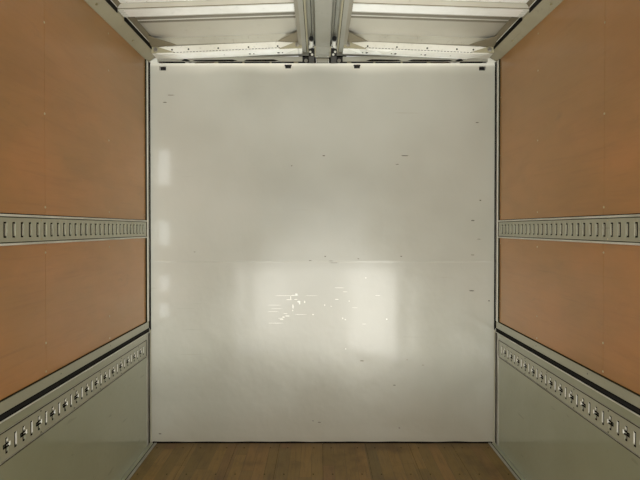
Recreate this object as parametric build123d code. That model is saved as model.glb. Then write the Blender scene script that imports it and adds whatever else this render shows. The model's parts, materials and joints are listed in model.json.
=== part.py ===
from build123d import *
import os

# Gull-wing load body of a box truck.
# X is across the body with +X right, +Y points forward and Z is up, in millimetres.
# The origin is the middle of the four chassis bolts, on the underside of the sills.

# Load space
inner_length = 6200.0
inner_width = 2400.0
wall_thickness = 37.0
front_wall_height = 2646.0

# Underframe
sill_height = 150.0
sill_width = 60.0
sill_web = 6.0
sill_spacing = 790.0
joist_height = 80.0
joist_width = 45.0
joist_web = 4.5
joist_count = 19
joist_end_margin = 60.0
board_thickness = 30.0
board_count = 8
board_gap = 2.0
side_rail_height = 150.0
side_rail_inset = 12.0
side_rail_web = 8.0
rail_setback = 1.0

# Chassis feet
foot_length = 180.0
foot_plate = 12.0
foot_reach = 80.0
foot_height = 130.0
foot_bolt_radius = 9.0
foot_row_count = 3
foot_bolt_offset = 40.0
foot_row_spacing = 2300.0

# Front and rear frames
frame_depth_front = 90.0
frame_depth_rear = 110.0
frame_above_wall = 54.0
post_width = 97.0
lining_thickness = 10.0
header_below_wall = 21.0
header_depth = 95.0
header_setback = 18.0
closing_plate = 6.0
sheet_pitch = 150.0
sheet_depth = 20.0
sheet_thickness = 2.0
slot_width = 48.0
slot_height = 28.0

# Centre beam and wing hinge
beam_half_width = 46.0
beam_neck_half_width = 38.0
beam_neck_height = 25.0
beam_cap_half_width = 25.0
beam_cap_height = 22.0
beam_above_wall = 41.0
beam_height = 88.0
beam_end_plate_half_width = 55.0
beam_end_plate_length = 180.0
beam_end_plate_thickness = 6.0
hinge_x = 60.0
hinge_above_beam = 10.0
hinge_radius = 7.0
hinge_leaf_reach = 30.0
hinge_count = 11
hinge_knuckle = 100.0
hinge_gap = 0.3
hinge_clearance = 7.0

# Wings
wing_gap_above_gate = 24.0
bottom_rail_height = 51.0
end_clearance = 6.0
lining_setback = 6.0
plywood_thickness = 9.0
lash_centre = 1490.0
lash_height = 120.0
lash_plate = 2.5
lash_slot_pitch = 50.0
lash_slot_width = 20.0
lash_slot_height = 60.0
shoulder_below_wall = 2.0
shoulder_rise = 44.0
shoulder_depth = 94.5
shoulder_foot = 25.0
shoulder_head = 96.0
camber = 0.034
roof_skin = 3.0
roof_corner_radius = 38.0
hinge_rail_offset = 37.0
hinge_rail_width = 42.0
hinge_rail_depth = 65.0
rib_depth = 37.0
rib_width = 94.0
rib_flange_width = 145.0
rib_flange_thickness = 3.0
rib_first = 600.0
rib_spacing_nearly = 620.0
end_frame_width = 110.0
end_frame_drop = 78.0
end_frame_plate = 4.0
end_strip_width = 50.0
end_seal = 9.0
bottom_seal_height = 18.0
lip_drop = 40.0
lip_thickness = 3.0
lip_clearance = 6.0

# Side gates
gate_height = 779.0
gate_hinge_drop = 15.0
gate_hinge_radius = 6.0
gate_hinge_count = 6
gate_knuckle = 70.0
gate_leaf = 3.0
gate_leaf_height = 70.0
gate_rail_below_top = 45.0
gate_rail_height = 114.0
gate_rail_pocket = 25.0
gate_rail_setback = 2.0
gate_rail_plate = 5.0
gate_slot_pitch = 100.0
gate_slot_first = 115.0
gate_slot_width = 16.0
gate_slot_height = 60.0
cross_arm_width = 44.0
cross_arm_height = 18.0
gate_latch_proud = 8.0
gate_plank_count = 4
gate_groove_width = 6.0
gate_groove_depth = 2.0

# Rear doors
door_gap = 5.0
door_thickness = 37.0
door_below_floor = 30.0
door_above_header = 15.0
door_meeting_gap = 8.0
door_hinge_radius = 10.0
door_pin_behind = 14.0
door_pin_outboard = 3.0
door_strap_length = 180.0
door_strap_height = 60.0
door_strap_thickness = 6.0
door_knuckle = 28.0
door_knuckle_gap = 0.3
door_bracket = 10.0
door_hinge_count = 4
door_hinge_margin = 160.0
lock_rod_radius = 11.0
lock_rod_standoff = 16.0
lock_rod_from_hinge = 420.0
lock_rod_from_edge = 106.0
lock_rod_guides = 5

# Wing cylinders
cylinder_y = 50.0
cylinder_base_x = 115.0
cylinder_length = 810.0
cylinder_above_header = 39.0
barrel_radius = 30.0
barrel_length = 640.0
rod_radius = 15.0
rod_clearance = 1.0
bore_length = 255.0
bore_end_gap = 15.0
eye_radius = 26.0
base_eye_width = 40.0
rod_eye_width = 22.0
pin_radius = 10.0
pin_clearance = 0.5
cheek_thickness = 8.0
cheek_side_gap = 4.0
clevis_half_width = 45.0
clevis_drop = 24.0

# Lamps
marker_width = 90.0
marker_height = 28.0
marker_depth = 18.0
marker_below_top_rear = 30.0
marker_below_top_front = 100.0
marker_from_side = 197.0
tail_lamp_width = 260.0
tail_lamp_height = 70.0
tail_lamp_from_side = 287.0

# Places worked out from the sizes above
floor_top = sill_height + joist_height + board_thickness
y_front = inner_length / 2
y_rear = -inner_length / 2
inner_x = inner_width / 2
outer_x = inner_x + wall_thickness
rail_outer_x = outer_x - rail_setback
rail_inner_x = inner_x - side_rail_inset
front_face = y_front + frame_depth_front
rear_face = y_rear - frame_depth_rear
post_inner_x = outer_x - post_width
foot_bolt_x = sill_spacing / 2 + sill_width / 2 + foot_bolt_offset
frame_top = front_wall_height + frame_above_wall
header_top = front_wall_height - header_below_wall
header_bottom = header_top - header_depth
beam_bottom = front_wall_height + beam_above_wall
beam_top = beam_bottom + beam_height
hinge_height = beam_top + hinge_above_beam
shoulder_bottom = front_wall_height - shoulder_below_wall
eave_height = shoulder_bottom + shoulder_depth
shoulder_foot_x = outer_x - shoulder_foot
shoulder_head_x = outer_x - shoulder_head
wing_bottom = gate_height + wing_gap_above_gate
wing_end = y_front - end_clearance
strip_end = wing_end - end_seal
lining_end = strip_end - end_strip_width
panel_inner_x = inner_x + lining_setback + plywood_thickness
lining_x = inner_x + lining_setback
skin_inner_x = hinge_x + hinge_radius + hinge_clearance
roof_front = front_face + sheet_depth + lip_clearance + lip_thickness
hinge_rail_inner_x = hinge_x + hinge_rail_offset
hinge_rail_outer_x = hinge_rail_inner_x + hinge_rail_width
gate_end = wing_end
gate_rail_top = gate_height - gate_rail_below_top
gate_rail_bottom = gate_rail_top - gate_rail_height
gate_hinge_x = outer_x + gate_hinge_radius
gate_hinge_z = floor_top - gate_hinge_drop
door_pin_x = outer_x + door_pin_outboard
door_outer_y = rear_face - door_gap - door_thickness
door_pin_y = door_outer_y - door_pin_behind
door_bottom = -door_below_floor
door_top = header_top + door_above_header
door_inner_x = door_meeting_gap / 2
cylinder_height = header_top + cylinder_above_header
cylinder_eye_x = cylinder_base_x + cylinder_length
bore_bottom = barrel_length - bore_length
rib_count = round((inner_length - 2 * rib_first) / rib_spacing_nearly) + 1
rib_spacing = (inner_length - 2 * rib_first) / (rib_count - 1)

wall_slots = [  # distance from the middle, centre below the lining's top
    (1108.0, 42.0),
    (239.0, 28.0),
]


def box(x0, x1, y0, y1, z0, z1):
    """A block between two corners."""
    middle = ((x0 + x1) / 2, (y0 + y1) / 2, (z0 + z1) / 2)
    return Pos(*middle) * Box(abs(x1 - x0), abs(y1 - y0), abs(z1 - z0))


def section_along_y(points, y0, y1):
    """A solid from a section given as (x, height above the floor), run along Y."""
    outline = Wire.make_polygon([Vector(x, y0, floor_top + h) for x, h in points])
    return Solid.extrude(Face(outline), Vector(0, y1 - y0, 0))


def bar_along_y(x, z, radius, y0, y1):
    """A round bar along Y."""
    return Pos(x, (y0 + y1) / 2, z) * Rot(90, 0, 0) * Cylinder(radius, abs(y1 - y0))


def bar_along_x(x0, x1, y, z, radius):
    """A round bar along X."""
    return Pos((x0 + x1) / 2, y, z) * Rot(0, 90, 0) * Cylinder(radius, abs(x1 - x0))


def bar_along_z(x, y, radius, z0, z1):
    """A round upright bar."""
    return Pos(x, y, (z0 + z1) / 2) * Cylinder(radius, abs(z1 - z0))


def fused(pieces):
    """One solid from pieces that meet."""
    whole = pieces[0]
    for piece in pieces[1:]:
        whole = whole + piece
    return whole


def solids_of(shapes):
    """All solids in a list of shapes."""
    found = []
    for shape in shapes:
        found.extend(shape.solids())
    return found


def spread(first, last, count):
    """Evenly spaced places from first to last."""
    step = (last - first) / (count - 1)
    return [first + step * i for i in range(count)]


def both_sides(shapes):
    """The shapes and their mirror images in the body's middle plane."""
    return shapes + [mirror(shape, about=Plane.YZ) for shape in shapes]


def both_ends(shapes):
    """The shapes and their mirror images front to rear."""
    return shapes + [mirror(shape, about=Plane.XZ) for shape in shapes]


def roof_inside(x):
    """Height of the roof skin's inner face above the floor."""
    return eave_height + camber * (outer_x - x)


def roof_strip(x0, x1, below, above, y0, y1):
    """A strip that follows the roof between two offsets from the skin's inner face."""
    points = [
        (x0, roof_inside(x0) + below),
        (x1, roof_inside(x1) + below),
        (x1, roof_inside(x1) + above),
        (x0, roof_inside(x0) + above),
    ]
    return section_along_y(points, y0, y1)


def rounded(solid, x, height, radius):
    """A solid with its long edge at one place of the section rounded."""
    place = Vector(x, 0, floor_top + height)
    edges = solid.edges().filter_by(Axis.Y)
    nearest = min(edges, key=lambda edge: abs(edge.center().X - place.X) + abs(edge.center().Z - place.Z))
    return solid.fillet(radius, [nearest])


def sills():
    """Two channels that stand on the truck's chassis, open towards the middle."""
    outer = sill_spacing / 2 + sill_width / 2
    inner = outer - sill_width
    z_base = -floor_top
    points = [
        (inner, z_base),
        (outer, z_base),
        (outer, z_base + sill_height),
        (inner, z_base + sill_height),
        (inner, z_base + sill_height - sill_web),
        (outer - sill_web, z_base + sill_height - sill_web),
        (outer - sill_web, z_base + sill_web),
        (inner, z_base + sill_web),
    ]
    return both_sides([section_along_y(points, rear_face, front_face)])


def feet():
    """Angle brackets on the sills' outer faces, with upright bolt holes."""
    x0 = sill_spacing / 2 + sill_width / 2
    made = []
    reach = foot_row_spacing * (foot_row_count - 1) / 2
    for y in spread(-reach, reach, foot_row_count):
        base = box(x0, x0 + foot_reach, y - foot_length / 2, y + foot_length / 2, 0, foot_plate)
        upright = box(x0, x0 + foot_plate, y - foot_length / 2, y + foot_length / 2, 0, foot_height)
        rib_face = Face(Wire.make_polygon([
            Vector(x0, y + foot_length / 4, foot_plate),
            Vector(x0 + foot_reach, y + foot_length / 4, foot_plate),
            Vector(x0, y + foot_length / 4, foot_height),
        ]))
        rib = Solid.extrude(rib_face, Vector(0, foot_plate, 0))
        hole = bar_along_z(foot_bolt_x, y, foot_bolt_radius, -foot_plate, 2 * foot_plate)
        made.append(fused([base, upright, rib]) - hole)
    return both_sides(made)


def joists():
    """Channels across the sills."""
    z0 = sill_height
    z1 = sill_height + joist_height
    half = rail_outer_x - side_rail_web
    made = []
    for y in spread(y_rear + joist_end_margin, y_front - joist_end_margin, joist_count):
        web = box(-half, half, y - joist_web, y, z0, z1)
        low = box(-half, half, y, y + joist_width, z0, z0 + joist_web)
        high = box(-half, half, y, y + joist_width, z1 - joist_web, z1)
        made.append(fused([web, low, high]))
    return made


def boards():
    """Floor boards laid along the body."""
    width = (2 * rail_inner_x - board_gap * (board_count - 1)) / board_count
    made = []
    for i in range(board_count):
        x0 = -rail_inner_x + i * (width + board_gap)
        z0 = floor_top - board_thickness
        made.append(box(x0, x0 + width, y_rear, y_front + lining_thickness, z0, floor_top))
    return made


def gate_hinge_places():
    """Middles of the gate hinges along Y."""
    reach = y_front - gate_knuckle * 4
    return spread(-reach, reach, gate_hinge_count)


def side_rails():
    """Edge channels along the floor, with the fixed halves of the gate hinges."""
    high = 0.0
    low = -side_rail_height
    points = [
        (rail_inner_x, low),
        (rail_outer_x, low),
        (rail_outer_x, high),
        (rail_inner_x, high),
        (rail_inner_x, high - side_rail_web),
        (rail_outer_x - side_rail_web, high - side_rail_web),
        (rail_outer_x - side_rail_web, low + side_rail_web),
        (rail_inner_x, low + side_rail_web),
    ]
    pieces = [section_along_y(points, y_rear, front_face)]
    for y in gate_hinge_places():
        for side in (-1, 1):
            y0 = y + side * (gate_knuckle / 2 + hinge_gap)
            y1 = y0 + side * gate_knuckle / 2
            leaf_z = gate_hinge_z - gate_leaf_height
            pieces.append(bar_along_y(gate_hinge_x, gate_hinge_z, gate_hinge_radius, y0, y1))
            pieces.append(box(rail_outer_x, gate_hinge_x - gate_leaf / 2, min(y0, y1), max(y0, y1),
                              leaf_z, gate_hinge_z))
    return both_sides([fused(pieces)])


def front_lining():
    """The sheet that faces the load space, with its four slots."""
    sheet = box(-inner_x, inner_x, y_front, y_front + lining_thickness,
                floor_top, floor_top + front_wall_height)
    for x, drop in wall_slots:
        z = floor_top + front_wall_height - drop
        for middle in (-x, x):
            sheet = sheet - box(middle - slot_width / 2, middle + slot_width / 2,
                                y_front - lining_thickness, y_front + 2 * lining_thickness,
                                z - slot_height / 2, z + slot_height / 2)
    return sheet


def front_frame():
    """Posts, header, foot beam and beam seat behind the front lining."""
    back = y_front + lining_thickness
    top = floor_top + frame_top
    foot = box(-rail_inner_x, rail_inner_x, back, front_face, sill_height, floor_top)
    header = box(-post_inner_x, post_inner_x, y_front + header_setback, front_face,
                 floor_top + header_bottom, floor_top + header_top)
    seat = box(-beam_half_width, beam_half_width, y_front + header_setback, front_face,
               floor_top + header_top, floor_top + beam_bottom)
    posts = both_sides([
        box(post_inner_x, outer_x, back, front_face, floor_top, top),
        box(inner_x, outer_x, y_front, back, floor_top, top),
    ])
    return fused([foot, header, seat] + posts)


def front_panel():
    """Outer sheet of the front wall, folded in upright ribs."""
    count = int((2 * outer_x) // sheet_pitch)
    pitch = 2 * outer_x / count
    slope = sheet_depth
    front_line = []
    for i in range(count):
        x = -outer_x + i * pitch
        front_line.append((x, 0.0))
        front_line.append((x + pitch / 2 - slope, 0.0))
        front_line.append((x + pitch / 2, sheet_depth - sheet_thickness))
        front_line.append((x + pitch - slope, sheet_depth - sheet_thickness))
    front_line.append((outer_x, 0.0))
    back = [(x, front_face + d) for x, d in front_line]
    front = [(x, front_face + d + sheet_thickness) for x, d in reversed(front_line)]
    z0 = floor_top - side_rail_height
    outline = Wire.make_polygon([Vector(x, y, z0) for x, y in back + front])
    return Solid.extrude(Face(outline), Vector(0, 0, floor_top + frame_top - z0))


def door_hinge_heights():
    """Middles of the door hinges above the floor."""
    return spread(door_bottom + door_hinge_margin, door_top - door_hinge_margin, door_hinge_count)


def rear_frame():
    """Portal round the rear doorway, with sill, closing plate and fixed hinge halves."""
    top = floor_top + frame_top
    sill = box(-outer_x, outer_x, rear_face, y_rear, sill_height, floor_top)
    header = box(-post_inner_x, post_inner_x, rear_face, y_rear - header_setback,
                 floor_top + header_bottom, floor_top + header_top)
    seat = box(-beam_half_width, beam_half_width, rear_face, y_rear - header_setback,
               floor_top + header_top, floor_top + beam_bottom)
    plate = box(-post_inner_x, post_inner_x, rear_face, rear_face + closing_plate,
                floor_top + header_top, top)
    posts = both_sides([box(post_inner_x, outer_x, rear_face, y_rear, floor_top, top)])
    brackets = []
    for height in door_hinge_heights():
        for side in (-1, 1):
            z0 = floor_top + height + side * (door_strap_height / 2 + door_knuckle_gap)
            z1 = z0 + side * door_knuckle
            low = min(z0, z1)
            high = max(z0, z1)
            knuckle = bar_along_z(door_pin_x, door_pin_y, door_hinge_radius, low, high)
            arm = box(outer_x, outer_x + door_bracket, door_pin_y, y_rear - frame_depth_rear / 4, low, high)
            brackets.append(knuckle + arm)
    return fused([sill, header, seat, plate] + posts + both_sides(brackets))


def wing_hinge_places():
    """Middles of the wing hinges along Y."""
    reach = y_front - hinge_knuckle
    return spread(-reach, reach, hinge_count)


def centre_beam():
    """Beam along the roof's middle, with the fixed halves of the wing hinges."""
    half = [  # half width, height
        (beam_half_width, beam_bottom),
        (beam_half_width, beam_top - beam_neck_height),
        (beam_neck_half_width, beam_top - beam_neck_height),
        (beam_neck_half_width, beam_top),
        (beam_cap_half_width, beam_top),
        (beam_cap_half_width, beam_top + beam_cap_height),
    ]
    beam = section_along_y(half + [(-x, h) for x, h in reversed(half)],
                           rear_face + closing_plate, front_face)
    plate = box(-beam_end_plate_half_width, beam_end_plate_half_width,
                y_front - beam_end_plate_length, y_front,
                floor_top + beam_bottom - beam_end_plate_thickness, floor_top + beam_bottom)
    knuckles = []
    for y in wing_hinge_places():
        y0 = y + hinge_gap / 2
        y1 = y0 + hinge_knuckle / 2
        leaf = [
            (beam_cap_half_width, beam_top),
            (beam_neck_half_width, beam_top),
            (hinge_x, hinge_height - hinge_radius),
            (hinge_x, hinge_height),
            (beam_cap_half_width, hinge_height - hinge_radius / 2),
        ]
        knuckles.append(section_along_y(leaf, y0, y1))
        knuckles.append(bar_along_y(hinge_x, floor_top + hinge_height, hinge_radius, y0, y1))
    return fused([beam] + both_ends([plate]) + both_sides(knuckles))


def wing_roof():
    """Right wing's roof skin with its cross ribs, end lips and moving hinge halves."""
    leg_x = outer_x - roof_skin
    top = roof_inside(outer_x) + roof_skin
    sheet = section_along_y([
        (skin_inner_x, roof_inside(skin_inner_x)),
        (leg_x, roof_inside(leg_x)),
        (leg_x, shoulder_bottom),
        (outer_x, shoulder_bottom),
        (outer_x, top),
        (skin_inner_x, roof_inside(skin_inner_x) + roof_skin),
    ], -roof_front, roof_front)
    sheet = rounded(sheet, leg_x, roof_inside(leg_x), roof_corner_radius - roof_skin)
    sheet = rounded(sheet, outer_x, top, roof_corner_radius)
    leg_cuts = both_ends([
        box(leg_x - roof_skin, outer_x + roof_skin, wing_end, roof_front + roof_skin,
            floor_top + shoulder_bottom - roof_skin, floor_top + frame_top + lip_clearance)
    ])
    pieces = [sheet - leg_cuts[0] - leg_cuts[1]]
    for i in range(rib_count):
        y = y_front - rib_first - i * rib_spacing
        pieces.append(roof_strip(hinge_rail_outer_x, shoulder_head_x, -rib_depth, 0,
                                 y - rib_width / 2, y + rib_width / 2))
        pieces.append(roof_strip(hinge_rail_outer_x, shoulder_head_x, -rib_flange_thickness, 0,
                                 y - rib_flange_width / 2, y + rib_flange_width / 2))
    lip = roof_strip(skin_inner_x, outer_x, -lip_drop, roof_skin, roof_front - lip_thickness, roof_front)
    pieces.extend(both_ends([rounded(lip, outer_x, top, roof_corner_radius)]))
    for y in wing_hinge_places():
        y1 = y - hinge_gap / 2
        y0 = y1 - hinge_knuckle / 2
        reach_x = skin_inner_x + hinge_leaf_reach
        leaf = [
            (hinge_x, hinge_height - hinge_radius / 2),
            (skin_inner_x, roof_inside(skin_inner_x)),
            (reach_x, roof_inside(reach_x)),
            (reach_x, roof_inside(reach_x) + roof_skin * 2),
            (hinge_x, hinge_height + hinge_radius / 2),
        ]
        pieces.append(section_along_y(leaf, y0, y1))
        pieces.append(bar_along_y(hinge_x, floor_top + hinge_height, hinge_radius, y0, y1))
    return fused(pieces)


def wing_rails():
    """Right wing's hinge rail, shoulder beam and bottom rail."""
    hinge_rail = section_along_y([
        (hinge_rail_inner_x, roof_inside(hinge_rail_inner_x) - hinge_rail_depth),
        (hinge_rail_outer_x, roof_inside(hinge_rail_inner_x) - hinge_rail_depth),
        (hinge_rail_outer_x, roof_inside(hinge_rail_outer_x)),
        (hinge_rail_inner_x, roof_inside(hinge_rail_inner_x)),
    ], -wing_end, wing_end)
    web_x = outer_x - roof_skin
    shoulder = section_along_y([
        (shoulder_foot_x, shoulder_bottom),
        (web_x, shoulder_bottom),
        (web_x, roof_inside(web_x)),
        (shoulder_head_x, roof_inside(shoulder_head_x)),
        (shoulder_head_x, shoulder_bottom + shoulder_rise),
    ], -wing_end, wing_end)
    shoulder = rounded(shoulder, web_x, roof_inside(web_x), roof_corner_radius)
    bottom_rail = section_along_y([
        (inner_x, wing_bottom),
        (outer_x, wing_bottom),
        (outer_x, wing_bottom + bottom_rail_height),
        (inner_x, wing_bottom + bottom_rail_height),
    ], -strip_end, strip_end)
    return [hinge_rail, shoulder, bottom_rail]


def wing_side():
    """Right wing's side panel."""
    return box(panel_inner_x, outer_x, -strip_end, strip_end,
               floor_top + wing_bottom + bottom_rail_height, floor_top + shoulder_bottom)


def wing_lining():
    """Plywood sheets below and above the lashing rail."""
    bands = [  # bottom, top
        (wing_bottom + bottom_rail_height, lash_centre - lash_height / 2),
        (lash_centre + lash_height / 2, shoulder_bottom),
    ]
    return [box(lining_x, panel_inner_x, -lining_end, lining_end, floor_top + low, floor_top + high)
            for low, high in bands]


def slot_outline(x, y, z, width, height):
    """An upright slot's outline at one place of a plate that faces X."""
    corners = [
        (-width / 2, -height / 2),
        (width / 2, -height / 2),
        (width / 2, height / 2),
        (-width / 2, height / 2),
    ]
    return Wire.make_polygon([Vector(x, y + dy, z + dz) for dy, dz in corners])


def cross_outline(x, y, z):
    """A cross-shaped hole's outline at one place of a plate that faces X."""
    a = gate_slot_width / 2
    b = gate_slot_height / 2
    c = cross_arm_width / 2
    d = cross_arm_height / 2
    corners = [
        (-a, -b), (a, -b), (a, -d), (c, -d), (c, d), (a, d),
        (a, b), (-a, b), (-a, d), (-c, d), (-c, -d), (-a, -d),
    ]
    return Wire.make_polygon([Vector(x, y + dy, z + dz) for dy, dz in corners])


def plate_with_holes(x0, x1, y_half, z0, z1, holes):
    """An upright plate that faces X, from x0 to x1, with holes cut through."""
    corners = [(-y_half, z0), (y_half, z0), (y_half, z1), (-y_half, z1)]
    outer = Wire.make_polygon([Vector(x0, y, z) for y, z in corners])
    return Solid.extrude(Face(outer, holes), Vector(x1 - x0, 0, 0))


def wing_lashing_rail():
    """Slotted rail let in between the plywood sheets."""
    z_mid = floor_top + lash_centre
    z0 = z_mid - lash_height / 2
    z1 = z_mid + lash_height / 2
    half_count = int((lining_end - lash_slot_pitch) // lash_slot_pitch)
    places = [(i + 0.5) * lash_slot_pitch for i in range(-half_count - 1, half_count + 1)]
    holes = [slot_outline(inner_x, y, z_mid, lash_slot_width, lash_slot_height) for y in places]
    face = plate_with_holes(inner_x, inner_x + lash_plate, lining_end, z0, z1, holes)
    low = box(inner_x + lash_plate, panel_inner_x, -lining_end, lining_end, z0, z0 + lash_plate)
    high = box(inner_x + lash_plate, panel_inner_x, -lining_end, lining_end, z1 - lash_plate, z1)
    return fused([face, low, high])


def wing_end_frames():
    """Roof bar, side strip and cylinder clevis at each end of the right wing."""
    back = wing_end - end_frame_width
    bar = fused([
        roof_strip(hinge_rail_outer_x, shoulder_head_x, -end_frame_drop,
                   -end_frame_drop + end_frame_plate, back, wing_end),
        roof_strip(hinge_rail_outer_x, shoulder_head_x, -end_frame_drop, 0,
                   back, back + end_frame_plate),
        roof_strip(hinge_rail_outer_x, shoulder_head_x, -end_frame_drop, 0,
                   wing_end - end_frame_plate, wing_end),
    ])
    strip = box(inner_x, panel_inner_x, lining_end, strip_end,
                floor_top + wing_bottom + bottom_rail_height, floor_top + shoulder_bottom)
    x0 = cylinder_eye_x - clevis_half_width
    x1 = cylinder_eye_x + clevis_half_width
    middle = y_front + cylinder_y
    inner_gap = rod_eye_width / 2 + cheek_side_gap
    outer_gap = inner_gap + cheek_thickness
    arm = roof_strip(x0, x1, -end_frame_plate * 2, 0, wing_end, middle + outer_gap)
    cheek_profile = [
        (x0, roof_inside(x0)),
        (x0, cylinder_height),
        (cylinder_eye_x - clevis_drop / 2, cylinder_height - clevis_drop),
        (cylinder_eye_x + clevis_drop / 2, cylinder_height - clevis_drop),
        (x1, cylinder_height),
        (x1, roof_inside(x1)),
    ]
    cheeks = []
    for y0 in (middle - outer_gap, middle + inner_gap):
        cheeks.append(section_along_y(cheek_profile, y0, y0 + cheek_thickness))
    hole = bar_along_y(cylinder_eye_x, floor_top + cylinder_height, pin_radius + pin_clearance,
                       y_front, front_face)
    clevis = fused([bar, arm] + cheeks) - hole
    return both_ends([clevis, strip])


def wing_seals():
    """Rubber strips on the wing's ends and along its bottom edge."""
    ends = both_ends([
        box(inner_x, outer_x, strip_end, wing_end,
            floor_top + wing_bottom, floor_top + shoulder_bottom)
    ])
    bottom = box(inner_x + gate_leaf, outer_x - gate_leaf, -strip_end, strip_end,
                 floor_top + wing_bottom - bottom_seal_height, floor_top + wing_bottom)
    return ends + [bottom]


def gate_panel():
    """Right side gate with the pocket for its lashing rail."""
    section = [
        (outer_x, gate_height),
        (inner_x, gate_height),
        (inner_x, gate_rail_top),
        (inner_x + gate_rail_pocket, gate_rail_top),
        (inner_x + gate_rail_pocket, gate_rail_bottom),
        (inner_x, gate_rail_bottom),
        (inner_x, end_clearance),
        (outer_x, end_clearance),
    ]
    plank = (gate_height - end_clearance) / gate_plank_count
    for i in range(1, gate_plank_count):
        middle = end_clearance + i * plank
        section.append((outer_x, middle - gate_groove_width / 2))
        section.append((outer_x - gate_groove_depth, middle))
        section.append((outer_x, middle + gate_groove_width / 2))
    return section_along_y(section, -gate_end, gate_end)


def gate_lashing_rail():
    """Plate over the gate's pocket with upright slots and cross-shaped holes in turn."""
    x0 = inner_x + gate_rail_setback
    z0 = floor_top + gate_rail_bottom
    z1 = floor_top + gate_rail_top
    z_mid = (z0 + z1) / 2
    pair_count = int((2 * gate_end - gate_slot_first) // gate_slot_pitch)
    holes = []
    for i in range(pair_count):
        y = gate_end - gate_slot_first - i * gate_slot_pitch
        holes.append(slot_outline(x0, y, z_mid, gate_slot_width, gate_slot_height))
        holes.append(cross_outline(x0, y - gate_slot_pitch / 2, z_mid))
    return plate_with_holes(x0, x0 + gate_rail_plate, gate_end, z0, z1, holes)


def gate_fittings():
    """Moving hinge halves and latches of the right gate."""
    made = []
    for y in gate_hinge_places():
        y0 = y - gate_knuckle / 2
        y1 = y + gate_knuckle / 2
        made.append(fused([
            bar_along_y(gate_hinge_x, gate_hinge_z, gate_hinge_radius, y0, y1),
            box(outer_x, gate_hinge_x - gate_leaf / 2, y0, y1,
                gate_hinge_z, gate_hinge_z + gate_leaf_height),
        ]))
    z1 = floor_top + gate_height
    for y in (-gate_end + gate_knuckle * 2, gate_end - gate_knuckle * 2):
        case = box(outer_x, outer_x + gate_latch_proud, y - gate_knuckle, y + gate_knuckle,
                   z1 - 2 * gate_knuckle, z1 - gate_knuckle / 2)
        made.append(case)
    return made


def to_rest(shape):
    """Turn a closed right door by a quarter turn about its pin, to point straight back."""
    return Pos(door_pin_x, door_pin_y, 0) * Rot(0, 0, 90) * Pos(-door_pin_x, -door_pin_y, 0) * shape


def door_leaf():
    """Right door leaf, drawn closed and then swung open."""
    leaf = box(door_inner_x, door_pin_x - door_hinge_radius,
               door_outer_y, door_outer_y + door_thickness,
               floor_top + door_bottom, floor_top + door_top)
    return to_rest(leaf)


def door_hardware():
    """Straps with the moving hinge halves, lock rods, guides and handle of the right door."""
    made = []
    for height in door_hinge_heights():
        z0 = floor_top + height - door_strap_height / 2
        z1 = floor_top + height + door_strap_height / 2
        knuckle = bar_along_z(door_pin_x, door_pin_y, door_hinge_radius, z0, z1)
        strap = box(door_pin_x - door_strap_length, door_pin_x - door_hinge_radius / 2,
                    door_outer_y - door_strap_thickness, door_outer_y, z0, z1)
        neck = box(door_pin_x - door_hinge_radius, door_pin_x,
                   door_pin_y, door_outer_y, z0, z1)
        made.append(fused([knuckle, strap, neck]))
    rod_y = door_outer_y - lock_rod_standoff
    z_low = floor_top + door_bottom
    z_high = floor_top + door_top
    for x in (door_pin_x - lock_rod_from_hinge, door_inner_x + lock_rod_from_edge):
        pieces = [bar_along_z(x, rod_y, lock_rod_radius, z_low, z_high)]
        for z in spread(z_low + door_strap_height, z_high - door_strap_height, lock_rod_guides):
            pieces.append(box(x - 2 * lock_rod_radius, x + 2 * lock_rod_radius,
                              rod_y - lock_rod_radius / 2, door_outer_y,
                              z - door_strap_height / 2, z + door_strap_height / 2))
        made.append(fused(pieces))
    return [to_rest(shape) for shape in made]


def cylinder_brackets():
    """Cheeks and pins on the headers that carry the cylinders' base eyes."""
    middle = y_front + cylinder_y
    z_pin = floor_top + cylinder_height
    inner_gap = base_eye_width / 2 + cheek_side_gap
    outer_gap = inner_gap + cheek_thickness
    pieces = []
    for y0 in (middle - outer_gap, middle + inner_gap):
        pieces.append(box(cylinder_base_x - eye_radius, cylinder_base_x + eye_radius,
                          y0, y0 + cheek_thickness, floor_top + header_top, z_pin + eye_radius))
    pieces.append(bar_along_y(cylinder_base_x, z_pin, pin_radius, middle - outer_gap, middle + outer_gap))
    return both_ends(both_sides([fused(pieces)]))


def barrel():
    """Barrel of the front right cylinder with its base eye."""
    y = y_front + cylinder_y
    z = floor_top + cylinder_height
    end_x = cylinder_base_x + barrel_length
    body = bar_along_x(cylinder_base_x + 2 * eye_radius, end_x, y, z, barrel_radius)
    neck = box(cylinder_base_x, cylinder_base_x + 2 * eye_radius,
               y - base_eye_width / 2, y + base_eye_width / 2, z - eye_radius / 2, z + eye_radius / 2)
    eye = bar_along_y(cylinder_base_x, z, eye_radius, y - base_eye_width / 2, y + base_eye_width / 2)
    hole = bar_along_y(cylinder_base_x, z, pin_radius + pin_clearance,
                       y - base_eye_width, y + base_eye_width)
    bore = bar_along_x(cylinder_base_x + bore_bottom, end_x + barrel_radius, y, z,
                       rod_radius + rod_clearance)
    return fused([body, neck, eye]) - hole - bore


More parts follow.
